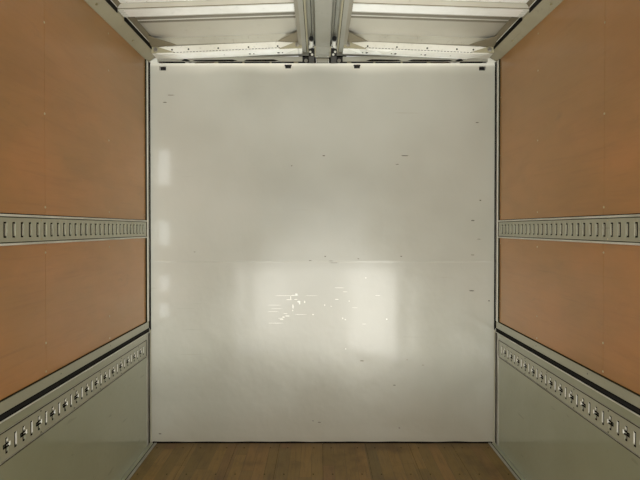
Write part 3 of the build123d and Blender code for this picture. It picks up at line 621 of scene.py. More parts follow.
# Slots with the material most used in each
# Painted shade: the dark grey and the black below stand in for shade in gaps, slots, grooves and folds.
SHADE = ("black_rubber", DARK_GREY_AND_SHADE)
BLACK_SHADE = ("black_rubber", painted_shade_finish("black_painted_shade", (30, 26, 18), (12, 10, 7)))
STUDS = ("fittings_steel", metal("rivet_metal", (206, 196, 160), (172, 158, 118), 0.30, 0.9, 0.15))
BEAM = ("grey_paint", painted("beam_grey", (144, 141, 127), (135, 132, 116), 0.38, 0.3, 0.3))


def dress_solids():
    """Each kept solid gets its slot's material."""
    for part in frame["record"]["subparts"]:
        node = frame["nodes"][part["node"]]
        node.data.materials.clear()
        node.data.materials.append(MAT[part["material_slot"]])


# Front wall
SLOTS = [(x, WALL_TOP - drop) for x, drop in ((-1.108, 0.042), (-0.239, 0.028), (0.239, 0.028), (1.108, 0.042))]
SLOT_HALF = (0.024, 0.014)
LAP_HEIGHT = 1.262
WALL_EDGE = WALL_X - 0.004
SHEET_TOP = WALL_TOP - 0.006
FLAKE = ((-1.0, 0.0), (-0.6, 1.0), (0.5, 0.8), (1.0, -0.1), (0.4, -1.0), (-0.7, -0.7))
DENTS = [  # x, height above the floor, half width, half height, depth
    (-0.54, 1.10, 0.06, 0.50, 0.0010), (-0.36, 1.45, 0.04, 0.26, 0.0010), (0.60, 0.92, 0.07, 0.42, 0.0016),
    (0.41, 1.45, 0.05, 0.22, 0.0010), (-0.10, 1.32, 0.40, 0.05, 0.0010), (0.16, 0.98, 0.10, 0.10, 0.0014),
    (-0.22, 0.85, 0.12, 0.09, 0.0016), (0.32, 1.10, 0.08, 0.14, 0.0012), (-0.86, 0.60, 0.16, 0.14, 0.0012),
    (0.86, 1.45, 0.14, 0.12, 0.0008), (0.02, 0.58, 0.22, 0.10, 0.0014), (0.30, 0.55, 0.12, 0.08, 0.0012),
    (-0.38, 0.56, 0.14, 0.10, 0.0012), (0.72, 0.42, 0.14, 0.10, 0.0012), (-0.30, 2.10, 0.22, 0.14, 0.0012),
    (0.28, 2.02, 0.18, 0.16, 0.0010), (0.02, 0.74, 0.16, 0.12, 0.0020), (-1.10, 1.66, 0.05, 0.07, 0.0010),
    (-1.12, 1.21, 0.05, 0.06, 0.0012),
]
CHIPS = [  # x, height above the floor, half width, half height
    (-1.052, 2.42, 0.026, 0.0020), (-1.094, 2.37, 0.014, 0.0030), (-0.214, 1.93, 0.005, 0.0030),
    (0.009, 2.00, 0.010, 0.0035), (0.573, 2.00, 0.028, 0.0028), (0.520, 1.94, 0.012, 0.0018),
    (1.075, 2.23, 0.012, 0.0026), (1.098, 1.69, 0.007, 0.0040), (1.046, 1.55, 0.013, 0.0040),
    (1.090, 1.42, 0.014, 0.0018), (1.046, 1.31, 0.014, 0.0022), (0.548, 1.30, 0.006, 0.0036),
    (0.019, 1.30, 0.006, 0.0036), (1.040, 1.06, 0.019, 0.0036), (1.160, 0.99, 0.006, 0.0040),
    (-1.135, 0.06, 0.010, 0.0040), (-0.022, 0.14, 0.012, 0.0038), (-0.066, 0.15, 0.007, 0.0030),
    (0.537, 0.10, 0.006, 0.0040), (0.502, 0.40, 0.010, 0.0030), (0.276, 0.57, 0.015, 0.0030),
    (-0.085, 1.27, 0.012, 0.0022), (0.080, 1.255, 0.034, 0.0014), (0.060, 1.268, 0.016, 0.0018),
    (0.250, 1.283, 0.008, 0.0022),
]
# Pale flakes on the wall, painted as glints of light.
GLINTS = [  # x, height above the floor, half width, half height
    (0.118, 1.081, 0.036, 0.0016), (0.158, 1.053, 0.018, 0.0016), (0.186, 0.988, 0.0045, 0.0045),
    (0.015, 0.960, 0.0040, 0.0050), (0.158, 0.859, 0.0045, 0.0050), (0.448, 0.862, 0.0050, 0.0040),
    (0.162, 0.654, 0.0045, 0.0045), (0.302, 1.150, 0.0045, 0.0030), (-0.066, 0.894, 0.0060, 0.0045),
    (-0.250, 1.026, 0.090, 0.0014), (-0.194, 1.028, 0.026, 0.0034), (-0.165, 0.984, 0.012, 0.0070),
    (-0.206, 0.950, 0.0050, 0.0160), (-0.208, 0.922, 0.0040, 0.0060), (-0.150, 0.894, 0.044, 0.0014),
    (-0.245, 0.884, 0.018, 0.0040), (-0.285, 0.860, 0.014, 0.0040), (-0.330, 0.834, 0.060, 0.0016),
    (-0.335, 0.960, 0.050, 0.0012), (-0.320, 0.935, 0.045, 0.0012), (-0.345, 0.915, 0.040, 0.0012),
    (-0.182, 1.036, 0.010, 0.0060), (-0.160, 0.975, 0.006, 0.0120), (-0.186, 1.000, 0.012, 0.0030),
    (-0.232, 0.998, 0.022, 0.0026), (-0.222, 1.012, 0.0035, 0.0130), (-0.258, 0.900, 0.016, 0.0024),
    (-0.272, 0.876, 0.010, 0.0050), (-0.292, 0.868, 0.020, 0.0020), (-0.125, 0.982, 0.005, 0.0080),
    (-0.075, 1.026, 0.050, 0.0010), (0.060, 0.952, 0.004, 0.0030), (0.100, 1.000, 0.014, 0.0030),
    (0.225, 0.942, 0.022, 0.0012), (0.140, 0.868, 0.005, 0.0060), (0.385, 1.027, 0.020, 0.0012),
    (0.290, 0.828, 0.016, 0.0014),
]


def wall_face(x, z):
    """How far the sheet is pushed back at a place."""
    back = 0.0022
    for middle, height, wide, tall, depth in DENTS:
        away = ((x - middle) / wide) ** 2 + ((z - FLOOR - height) / tall) ** 2
        back += depth * math.exp(-away)
    back += 0.0012 * noise.noise(Vector((x * 2.1, 3.0, z * 1.7)))
    back += 0.0005 * noise.noise(Vector((x * 6.0, 9.0, z * 5.0)))
    from_edge = min(WALL_EDGE - abs(x), SHEET_TOP - z, z - FLOOR)
    hold = min(1.0, max(0.0, from_edge / 0.12))
    lap = 0.0007 if z > FLOOR + LAP_HEIGHT else 0.0
    return back * hold * hold * (3 - 2 * hold) - lap * hold


def wall_marks(name, places, material, proud):
    """Short six-sided flakes lying on the wall."""
    marks = Shape()
    for x, height, wide, tall in places:
        z = FLOOR + height
        y = WALL_Y + wall_face(x, z)
        marks.prism([(x + wide * a, z + tall * b) for a, b in FLAKE], "y", y - proud, y + 0.0008)
    on_root(name, marks, "white_sheet", material)


def front_wall():
    """The dented sheet with its slots, as a grid with a folded rim."""
    wide, tall = SLOT_HALF
    xs = set(spread(-WALL_EDGE, WALL_EDGE, 145))
    zs = set(spread(FLOOR, SHEET_TOP, 157))
    zs |= {FLOOR + LAP_HEIGHT - 0.0005, FLOOR + LAP_HEIGHT + 0.0005}
    for x, z in SLOTS:
        xs |= {x - wide, x + wide}
        zs |= {z - tall, z + tall}
    verts = [(x, WALL_Y + wall_face(x, z), z) for x in sorted(xs) for z in sorted(zs)]
    faces = []
    for face in grid_faces(len(xs), len(zs)):
        x = (verts[face[0]][0] + verts[face[2]][0]) / 2
        z = (verts[face[0]][2] + verts[face[2]][2]) / 2
        if not any(abs(x - a) < wide and abs(z - b) < tall for a, b in SLOTS):
            faces.append(face)
    made = piece("front_wall_sheet", Shape().add(verts, faces), "root", "white_sheet", replaces=["front_lining"])
    work = bmesh.new()
    work.from_mesh(made.data)
    pushed = bmesh.ops.extrude_edge_only(work, edges=[e for e in work.edges if e.is_boundary])
    for item in pushed["geom"]:
        if isinstance(item, bmesh.types.BMVert):
            item.co.y = WALL_BACK
    set_sides(made.data, work, 40)
    hooks = Shape()
    for x, z in SLOTS:
        hooks.block(x - 0.006, x + 0.010, WALL_Y + 0.002, WALL_Y + 0.008, z - 0.002, z + 0.011)
        hooks.block(x - 0.020, x + 0.020, WALL_Y + 0.008, WALL_BACK, z - 0.012, z + 0.012)
    on_root("slot_catches", hooks, "fittings_steel", MAT["black_paint"], 0.001)
    wall_marks("wall_paint_chips", CHIPS, PAINT_CHIP, 0.0003)
    # Painted highlights: pale flakes as glints on the wall.
    wall_marks("wall_painted_glints", GLINTS, PAINTED_GLINT, 0.0004)


def wall_corner_seals():
    """Rubber strips in black painted shade and foot edges at the wall's sides, and a black sheet of painted shade in
    the gutter over its top.
    """
    # Rubber strips in black painted shade.
    seals = block(WALL_EDGE - 0.001, WALL_X + 0.0035, WALL_Y - 0.0035, WALL_BACK, FLOOR + 0.790, WALL_TOP)
    on_root("wall_edge_seals", seals.doubled(-1), *BLACK_SHADE)
    posts = block(WALL_EDGE + 0.0005, WALL_X + 0.004, WALL_Y - 0.0020, WALL_BACK, FLOOR, FLOOR + 0.788)
    on_root("wall_foot_edges", posts.doubled(-1), "grey_paint", None, 0.0006)
    # Painted shade: a black sheet in the gutter over the wall's top.
    low = FLOOR + 2.6255
    gutter_shade = block(0.050, 1.142, FRONT_Y - 0.0045, FRONT_Y - 0.0005, low, FRAME_TOP - 0.004)
    gutter_shade.block(0.048, 0.170, FRONT_Y - 0.0120, FRONT_Y - 0.0085, low, FLOOR + 2.722)
    on_root("front_gutter_shade_sheet", gutter_shade.doubled(-1), *BLACK_SHADE)


# Floor
def floor_details():
    """Edge strips beside the staves with a dark strip of painted shade, rows of sunk screws over the cross joists, and
    a wavy bead of painted shade at the wall.
    """
    for name, low, high, rise, slot in (
        ("floor_edge_strips", 1.153, 1.1705, 0.0030, "bare_metal"),
        # Painted shade: the dark strip in the step beside the edge strip.
        ("floor_edge_gaps", 1.1710, 1.1775, 0.0006, "black_rubber"),
        ("floor_edge_flanges", 1.1780, 1.1985, 0.0020, "gate_aluminium"),
    ):
        strip = block(low, high, REAR_Y + 0.112, WALL_Y - 0.012, FLOOR, FLOOR + rise)
        on_root(name, strip.doubled(-1), slot, None, 0.0002)
    board = 2 * BOARD_X / 8
    columns = [-BOARD_X + board * (i + share) for i in range(8) for share in (0.2, 0.8)]
    rows = spread(0.080 - WALL_Y, WALL_Y - 0.080, 19)
    heads = fittings(screw_head, columns, rows, [FLOOR + 0.0001], (0, 0, 1), 0.0048, 0.0008)
    on_root("floor_screws", heads, "fittings_steel", DARK_GREY_AND_SHADE)
    filler = Shape()
    for i in range(1, 8):
        x = -BOARD_X + board * i
        filler.bar(x - 0.004, x + 0.004, WALL_Y - 0.02, FLOOR - 0.014, FLOOR - 0.0004)
    on_root("floor_joint_filler", filler, *SHADE)
    # Painted shade: a wavy black bead along the wall's foot.
    seal = Shape()
    steps = spread(-WALL_EDGE + 0.012, WALL_EDGE - 0.012, 90)
    for ends in zip(steps, steps[1:]):
        verts = []
        for x in ends:
            at = 0.0035 * noise.noise(Vector((x * 5.0, 1.0, 2.0)))
            up = 0.0035 * noise.noise(Vector((x * 7.0, 6.0, 3.0)))
            verts += [(x, WALL_Y - 0.014 + at, FLOOR), (x, WALL_Y - 0.001, FLOOR + 0.0060 + up),
                      (x, WALL_Y + 0.002, FLOOR)]
        seal.tube(verts, 3)
    on_root("floor_wall_shade_bead", seal, *BLACK_SHADE)


# Wing sides
def plywood_joints():
    """Where the plywood sheets meet along Y, from the front edge to the rear one."""
    joints = [PLY_END, SHEET_FIRST]
    while joints[-1] - SHEET_WIDTH > -PLY_END + 0.1:
        joints.append(joints[-1] - SHEET_WIDTH)
    return joints + [-PLY_END]


def plywood_sheets():
    """Plywood in sheets with narrow joints, slightly bowed between their screws, and its end strips, with painted
    shade at the plywood's ends, on the black end rubbers and in the gap under the wing.
    """
    joints = plywood_joints()
    gap = 0.0008
    rows, columns = 17, 9
    count = rows * columns
    rim = [i * columns for i in range(rows)]
    rim += [(rows - 1) * columns + j for j in range(1, columns)]
    rim += [i * columns + columns - 1 for i in range(rows - 2, -1, -1)]
    rim += range(columns - 2, 0, -1)
    faces = grid_faces(rows, columns) + [range(count, count + len(rim))]
    for k, a in enumerate(rim):
        after = (k + 1) % len(rim)
        faces.append((a, rim[after], count + after, count + k))
    sheets = Shape()
    for low, high in ((PLY_LOW, RAIL_LOW), (RAIL_HIGH, PLY_HIGH)):
        for far, near in zip(joints, joints[1:]):
            verts = []
            for y in spread(near + gap, far - gap, rows):
                for z in spread(low + gap / 2, high - gap / 2, columns):
                    inset = 0.0006 * noise.noise(Vector((y * 1.9, z * 2.3, 4.0)))
                    verts.append((PLY_X + 0.0008 + inset, y, z))
            sheets.add(verts + [(PLY_BACK, *verts[i][1:]) for i in rim], faces)
    on_pair("plywood_sheets", sheets, "plywood", replaces="wing_lining")
    heights = [FLOOR + h for h in (2.590, 2.382, 1.990, 1.587, 1.391, 0.999, 0.875)]
    ys = joints[1:-1] + [WALL_Y - 0.607] + [joint - SHEET_WIDTH / 2 for joint in joints[1:-2]]
    ends = (PLY_END - 0.012, -PLY_END + 0.012)
    heads = fittings(screw_head, [PLY_X + 0.0006], ys, heights, (-1, 0, 0), 0.0052, 0.0012)
    edges = fittings(screw_head, [PLY_X + 0.0006], ends, heights, (-1, 0, 0), 0.0042, 0.0012)
    on_pair("plywood_screws", heads.add(edges.verts, edges.faces), *STUDS)
    low, high = PLY_LOW + 0.001, PLY_HIGH - 0.001
    strips = block(WALL_X - 0.0012, WALL_X + 0.003, PLY_END + 0.0090, STRIP_END - 0.0155, low, high)
    on_pair("wing_end_strips", strips.doubled(1, -1), "grey_paint", PALE_LIT_METAL, 0.0004)
    # Painted shade over the step at the plywood's ends.
    end_shade = block(WALL_X - 0.0008, PLY_X + 0.001, PLY_END - 0.0040, PLY_END + 0.0085, low, high)
    on_pair("plywood_end_shade", end_shade.doubled(1, -1), *SHADE)
    # End rubbers in black painted shade.
    bands = block(WALL_X - 0.0012, WALL_X + 0.0045, STRIP_END - 0.0150, WING_END - 0.0005, WING_LOW + 0.001, high)
    on_pair("wing_end_rubbers", bands.doubled(1, -1), *BLACK_SHADE)
    # Painted shade: a black sheet in the gap under the wing's bottom rail.
    gap_shade = bar(WALL_X + 0.012, WALL_X + 0.018, STRIP_END, GATE_TOP + 0.0095, WING_LOW + 0.001)
    on_pair("wing_bottom_gap_shade", gap_shade, *BLACK_SHADE, 0.001)


LASH_SLOT = (0.020, 0.060)
GATE_SLOT = (0.016, 0.060)
GATE_ARM = (0.044, 0.018)
GATE_PITCH = 0.100
GATE_SLOT_FIRST = 0.115


def slot_shades(shape, x, y, z, size, side=0.0050):
    """Rims of painted shadow just inside an upright hole: its rearward side and its two ends."""
    half, tall = size[0] / 2, size[1] / 2
    shape.block(x + 0.0006, x + 0.0024, y - half, y - half + side, z - tall, z + tall)
    for s in (1, -1):
        shape.block(x + 0.0006, x + 0.0024, y - half, y + half * 0.55, z + s * tall, z + s * (tall - 0.006))


def lashing_lips():
    """Bright rolled lips of the lashing rail with lines of painted shade, the plate behind its slots, pale as painted
    light, painted shadow in the slots and in the gap over the rail, and its screws.
    """
    lips = Shape()
    lines = Shape()
    for z, s in ((RAIL_HIGH, 1), (RAIL_LOW, -1)):
        lips.rail([(RAIL_X - 0.0035, z - s * 0.0085), (RAIL_X + 0.002, z - s * 0.0095), (RAIL_X + 0.002, z),
                   (RAIL_X - 0.001, z), (RAIL_X - 0.0035, z - s * 0.003)], PLY_END)
        lines.bar(RAIL_X - 0.0003, RAIL_X + 0.001, PLY_END, z - s * 0.0097, z - s * 0.0132)
    on_pair("lashing_lips", lips, "lashing_steel", BRIGHT_EDGE, 0.0008)
    on_pair("lashing_lip_shadows", lines, *SHADE)
    middle = (RAIL_LOW + RAIL_HIGH) / 2
    # Painted light: a pale plate behind the slots, so their inside reads as lit.
    backing = bar(RAIL_X + 0.0040, RAIL_X + 0.0048, PLY_END - 0.01, middle - 0.036, middle + 0.036)
    on_pair("lashing_rail_backing", backing, "lashing_steel", BRIGHT_EDGE)
    shades = Shape()
    steps = int(PLY_END / LASH_PITCH)
    for i in range(-steps, steps):
        slot_shades(shades, RAIL_X, (i + 0.5) * LASH_PITCH, middle, LASH_SLOT, 0.0075)
    on_pair("lashing_slot_shades", shades, *BLACK_SHADE)
    # Painted shade in the gap over the rail.
    gap = bar(PLY_X - 0.0008, PLY_X + 0.002, PLY_END - 0.012, RAIL_HIGH - 0.0005, RAIL_HIGH + 0.0035)
    on_pair("lashing_rail_top_gap", gap, *BLACK_SHADE)
    ys = [round(y / LASH_PITCH) * LASH_PITCH for y in spread(-PLY_END + 0.25, PLY_END - 0.25, 7)]
    zs = (RAIL_LOW + 0.020, RAIL_HIGH - 0.020)
    on_pair("lashing_rail_screws", fittings(screw_head, [RAIL_X], ys, zs, (-1, 0, 0), 0.0040, 0.0012), *STUDS)


def shoulder_details():
    """Rivets on the sloping shoulder beam and the grooved edge where the ribs meet it, with a cove darkened as painted
    shade.
    """
    foot = Vector((SHOULDER_FOOT, 0, PLY_HIGH))
    head = Vector((SHOULDER_IN, 0, PLY_HIGH + SHOULDER_RISE))
    middle = foot + (head - foot) * 0.42
    slope = (head - foot).normalized()
    ys = [WALL_Y - 0.327 - k * 0.468 for k in range(12)]
    heads = fittings(rivet, [middle.x], ys, [middle.z], (-slope.z, 0, slope.x), 0.0070)
    on_pair("shoulder_rivets", heads, *STUDS)
    lip = rail([(foot.x - 0.0010, foot.z - 0.0030), (foot.x + 0.004, foot.z - 0.0030),
                (foot.x + 0.004, foot.z + 0.001), (foot.x - 0.004, foot.z + 0.001)], PLY_END)
    on_pair("shoulder_lip", lip, "grey_paint", BRIGHT_EDGE, 0.0006)
    edge = Shape()
    shade = Shape()
    cove = Shape()
    x = SHOULDER_IN
    top = roof_inside(x)
    mid = head.z + 0.025
    sides = [s for y in RIB_PLACES for s in (y + RIB_WIDTH / 2, y - RIB_WIDTH / 2)]
    sides = [WING_END - END_BAR_WIDTH] + sides + [END_BAR_WIDTH - WING_END]
    for y1, y0 in zip(sides[::2], sides[1::2]):
        edge.prism([(x - 0.0065, mid + 0.003), (x - 0.0025, mid - 0.001), (x + 0.001, mid - 0.001),
                    (x + 0.001, mid + 0.003)], "y", y0 + 0.004, y1 - 0.004)
        shade.prism([(x - 0.0040, head.z - 0.002), (x, head.z - 0.002), (x, mid), (x - 0.0040, mid)], "y", y0, y1)
        cove.prism([(x - 0.0055, mid + 0.002), (x - 0.010, mid + 0.012), (x - 0.018, top - 0.006),
                    (x - 0.030, top - 0.001), (x, top), (x, mid + 0.002)], "y", y0, y1)
    # Painted shade: the cove darkened beside the shoulder.
    on_pair("roof_edge_cove", cove, "roof_aluminium", SHADE_OLIVE)
    on_pair("roof_edge_flange", edge, "roof_aluminium", BRIGHT_EDGE, 0.0006)
    on_pair("roof_edge_shadow_fold", shade, "black_rubber")


def wing_bottom_details():
    """Screws, faces, strips of painted shade and bright folds along the wing's bottom rail and up its end strips."""
    ys = spread(-STRIP_END + 0.10, STRIP_END - 0.10, 13)
    heads = fittings(screw_head, [WALL_X], ys, [WING_LOW + 0.030], (-1, 0, 0), 0.0040, 0.0014)
    z = PLY_LOW + 0.06
    while z < PLY_HIGH - 0.03:
        for end in (1, -1):
            screw_head(heads, (WALL_X, end * (STRIP_END - 0.008), z), (-1, 0, 0), 0.0038, 0.0014)
        z += 0.195
    on_pair("wing_rail_screws", heads, "fittings_steel", MAT["black_paint"])
    # Painted shade in the gap under the plywood.
    gap = bar(WALL_X - 0.0004, PLY_X + 0.001, PLY_END, PLY_LOW - 0.0015, PLY_LOW + 0.0030)
    on_pair("plywood_foot_gap", gap, *SHADE)
    face = bar(WALL_X - 0.0008, WALL_X + 0.002, STRIP_END - 0.001, WING_LOW + 0.0050, PLY_LOW - 0.0015)
    on_pair("wing_foot_faces", face, "lashing_steel", None, 0.0006)
    # Painted shade: a black strip along the rail's lower edge.
    rim = bar(WALL_X - 0.0004, WALL_X + 0.002, STRIP_END - 0.001, WING_LOW - 0.0004, WING_LOW + 0.0050)
    on_pair("wing_foot_shade_strips", rim, *BLACK_SHADE)
    fold = block(WALL_X - 0.0015, WALL_X + 0.002, STRIP_END - 0.003, STRIP_END, PLY_LOW, PLY_HIGH)
    on_pair("wing_rail_folds", fold.doubled(1, -1), "grey_paint", BRIGHT_EDGE, 0.0006)


# Roof
# Strips on the skin beside each rib, coloured in bands of painted light and shade.
RIB_LAPS = [  # from the rib's side: start, end, thickness, kind
    (0.088, 0.117, 0.0008, "fold"),
    (0.117, 0.131, 0.0014, "band"),
    (0.131, 0.144, 0.0006, "shade"),
    (0.144, 0.160, 0.0008, "fold"),
]


def under_roof(shape, y0, y1, top, low):
    """A thin bar along X that follows the roof's slope, between two depths under its inner face."""
    shape.tube([(x, y, roof_inside(x) - drop) for x in (HINGE_RAIL_OUT + 0.002, SHOULDER_IN - 0.002)
                for y, drop in ((y0, low), (y1, low), (y1, top), (y0, top))], 4)


def rib_details():
    """Pressed creases, pale faces of painted light, laps banded in painted light and shade, dark lines of painted
    shade, crimped ends and rivets of the hat ribs.
    """
    crease = Shape()
    crimp = Shape()
    heads = Shape()
    faces = Shape()
    lines = Shape()
    laps = {kind: Shape() for kind in ("shade", "fold", "band")}
    half = RIB_WIDTH / 2
    for y in RIB_PLACES:
        # Painted light: pale overlays on each rib's underside and on the skin just behind it.
        under_roof(faces, y - half + 0.004, y + half - 0.004, RIB_DEPTH - 0.001, RIB_DEPTH + 0.0006)
        under_roof(faces, y - half - 0.074, y - half - 0.004, 0.0, 0.0052)
        for s in (-1, 1):
            at = y + s * (half - 0.004)
            crease.tube([(x, at + dy, roof_inside(x) - RIB_DEPTH - 0.0014 + dz)
                         for x in (HINGE_RAIL_OUT + 0.03, SHOULDER_IN - 0.03)
                         for dy, dz in ((-0.004, 0.0016), (0.0, 0.0), (0.004, 0.0016))], 3)
            side = y + s * half
            # Lap strips banded in painted light and shade.
            for inner, outer, thick, kind in RIB_LAPS:
                under_roof(laps[kind], side + s * inner, side + s * outer, 0.0, thick)
            # Painted shade: dark lines along the rib's lower edges.
            under_roof(lines, side - s * 0.002, side + s * 0.0006, RIB_DEPTH - 0.0058, RIB_DEPTH - 0.0010)
            for x in spread(HINGE_RAIL_OUT + 0.06, SHOULDER_IN - 0.06, 9):
                at = y + s * (RIB_FLANGE / 2 + half) / 2
                rivet(heads, (x, at, roof_inside(x) - 0.003), (0, 0, -1), 0.0042)
        for x, s in ((HINGE_RAIL_OUT, 1), (SHOULDER_IN, -1)):
            z = roof_inside(x) - RIB_DEPTH
            outline = [(x, z - 0.0015), (x + s * 0.020, z - 0.0030), (x + s * 0.034, z - 0.0002), (x, z + 0.002)]
            for k in range(4):
                crimp.prism(outline, "y", y - half + RIB_WIDTH * (k + 0.14) / 4, y - half + RIB_WIDTH * (k + 0.86) / 4)
            crimp.block(x, x + s * 0.004, y - RIB_FLANGE / 2, y + RIB_FLANGE / 2, z + 0.004, z + 0.022)
    on_pair("rib_creases", crease, "roof_aluminium", BRIGHT_EDGE)
    on_pair("rib_faces", faces, "roof_aluminium", PALE_LIT_METAL)
    on_pair("rib_lap_shades", laps["shade"], "roof_aluminium", SHADE_OLIVE)
    on_pair("rib_lap_folds", laps["fold"], "roof_aluminium", SHADE_GREY)
    on_pair("rib_laps", laps["band"], "roof_aluminium", BRIGHT_EDGE)
    on_pair("rib_edge_lines", lines, "black_rubber", SHADE_OLIVE)
    on_pair("rib_crimped_ends", crimp, "roof_aluminium", BRIGHT_EDGE, 0.0012)
    on_pair("rib_rivets", heads, *STUDS)


# Dark shapes of painted shade under the end bar's lip.
LIP_GAPS = [  # along X from the middle: start, end; over the wall's top: low, top
    (0.300, 0.545, 0.0030, 0.0165),
    (0.585, 0.900, 0.0030, 0.0150),
    (0.915, 0.975, 0.0030, 0.0230),
]


def end_bar_details():
    """Face strips with a stitched seam, coves, lips, gussets, rivets and bolts of the roof's end bars, with painted
    shade in the coves, folds, gusset webs and lip gaps and painted light on the undersides.
    """
    face = WING_END - END_BAR_WIDTH
    x0, x1 = HINGE_RAIL_OUT, SHOULDER_IN
    top0, top1 = roof_inside(x0), roof_inside(x1)
    low0, low1 = top0 - END_BAR_DROP, top1 - END_BAR_DROP
    strip = Shape()
    verts = []
    for x, low, share in ((x0 + 0.03, low0, 0), (x0 + 0.13, low0, 1), (x1 - 0.15, low1, 1), (x1 - 0.03, low1, 0)):
        verts += [(x, face - 0.0045, low + 0.002), (x, face - 0.0045, low + 0.002 + 0.044 * share),
                  (x, face + 0.001, low + 0.003 + 0.046 * share), (x, WING_END - 0.012, low + 0.001),
                  (x, face + 0.004 + 0.092 * share, low - 0.0035), (x, face - 0.0030, low - 0.0030)]
    for k in (0, 6, 12):
        strip.tube(verts[k:k + 12], 6)
    seam = Shape()
    a = Vector((x0 + 0.12, face - 0.0062, low0 + 0.0035))
    b = Vector((x1 - 0.14, face - 0.0062, low1 + 0.0035))
    ticks = 34
    for k in range(ticks):
        p, q = a.lerp(b, (k + 0.15) / ticks), a.lerp(b, (k + 0.80) / ticks)
        seam.tube([(v.x, y, v.z + dz) for y in (p.y, face)
                   for v, dz in ((p, -0.0014), (q, -0.0014), (q, 0.0014), (p, 0.0014))], 4)
    cove = Shape().tube([(x, face + dy, top + dz) for x, top in ((x0, top0), (x1, top1))
                         for dy, dz in ((-0.055, -0.0005), (-0.0015, -0.030), (0, 0))], 3)
    fold = Shape().tube([(x, y, top + dz) for y in (face - 0.0050, face) for x, top, dz in (
        (x0 + 0.10, top0, -0.0330), (x1 - 0.10, top1, -0.0330), (x1 - 0.10, top1, -0.0285), (x0 + 0.10, top0, -0.0285)
    )], 4)
    lip = block(x0, x1, WING_END - 0.0065, WING_END - 0.0005, WALL_TOP + 0.0020, WALL_TOP + 0.030)
    lip.block(x0, x1, WING_END - 0.016, WING_END - 0.0005, WALL_TOP + 0.0300, WALL_TOP + 0.0325)
    gaps = Shape()
    for near, far, low, top in LIP_GAPS:
        low, top = WALL_TOP + low, WALL_TOP + top
        gaps.prism([(near, low + 0.004), (near + 0.03, low), (far - 0.06, low), (far, low + 0.002),
                    (far - 0.02, top - 0.003), (near + 0.04, top)], "y", WING_END - 0.0072, WING_END - 0.0052)
    under = Shape().tube([(x, y, low - drop * deep) for deep in (1, 0) for x, y, low, drop in (
        (x0 + 0.03, face - 0.0020, low0, 0.0034), (x0 + 0.13, face - 0.0030, low0, 0.0034),
        (x1 - 0.15, face - 0.0030, low1, 0.0034), (x1 - 0.03, face - 0.0020, low1, 0.0034),
        (x1 - 0.15, WING_END - 0.016, low1, 0.0046), (x0 + 0.13, WING_END - 0.016, low0, 0.0046)
    )], 6)
    heads = Shape()
    for x in (0.495, 0.697, 0.895, 0.300, 1.005):
        base = roof_inside(x) - END_BAR_DROP
        rivet(heads, (x, face - 0.0045, base + 0.018), (0, -1, 0), 0.0060)
        rivet(heads, (x, face + 0.054, base - 0.0040), (0, 0, -1), 0.0085)
        rivet(heads, (x - 0.028, face + 0.050, base - 0.0040), (0, 0, -1), 0.0045)
    plates = Shape()
    webs = Shape()
    bolts = Shape()
    reach = 0.165
    for x, s, top, low in ((x0, 1, top0 - 0.004, low0), (x1, -1, top1 - 0.004, low1)):
        far = roof_inside(x + s * reach) - 0.004
        webs.tube([(x + s * along, face + dy, z + dz + thick) for thick in (0, 0.004) for along, dy, z, dz in (
            (0, -0.130, top, -0.006), (0, -0.004, top, -0.040), (reach, -0.004, far, -0.026))], 3)
        tip = low - s * CAMBER * 0.150
        plates.prism([(x, low + 0.002), (x + s * 0.150, tip + 0.001), (x + s * 0.040, low + 0.040), (x, low + 0.044)],
                     "y", face - 0.0110, face - 0.0075)
        plates.prism([(x, low - 0.001), (x + s * 0.150, tip - 0.001), (x + s * 0.150, tip + 0.003), (x, low + 0.003)],
                     "y", face - 0.0110, face + 0.002)
        bolt(bolts, (x + s * 0.030, face - 0.0110, low + 0.022), (0, -1, 0), 0.010, 0.007)
    # Painted shade in the coves, folds, gusset webs and lip gaps; painted light on the undersides.
    for name, shape, *look in (
        ("end_bar_strips", strip, "white_frame", None, 0.001),
        ("end_bar_seams", seam, *SHADE),
        ("end_bar_gusset_webs", webs, "grey_paint", SHADE_OLIVE),
        ("end_bar_coves", cove, "roof_aluminium", COVE_SHADE),
        ("end_bar_folds", fold, "black_rubber", SHADE_GREY),
        ("end_bar_lips", lip, *BEAM),
        ("end_bar_lip_gaps", gaps, *BLACK_SHADE),
        ("end_bar_undersides", under, "white_frame", PALE_LIT_METAL),
        ("end_bar_gussets", plates, "grey_paint", None, 0.001),
        ("end_bar_rivets", heads, "fittings_steel", DARK_GREY_AND_SHADE),
        ("end_bar_bolts", bolts, "fittings_steel"),
    ):
        on_pair(name, shape.doubled(1, -1), *look)


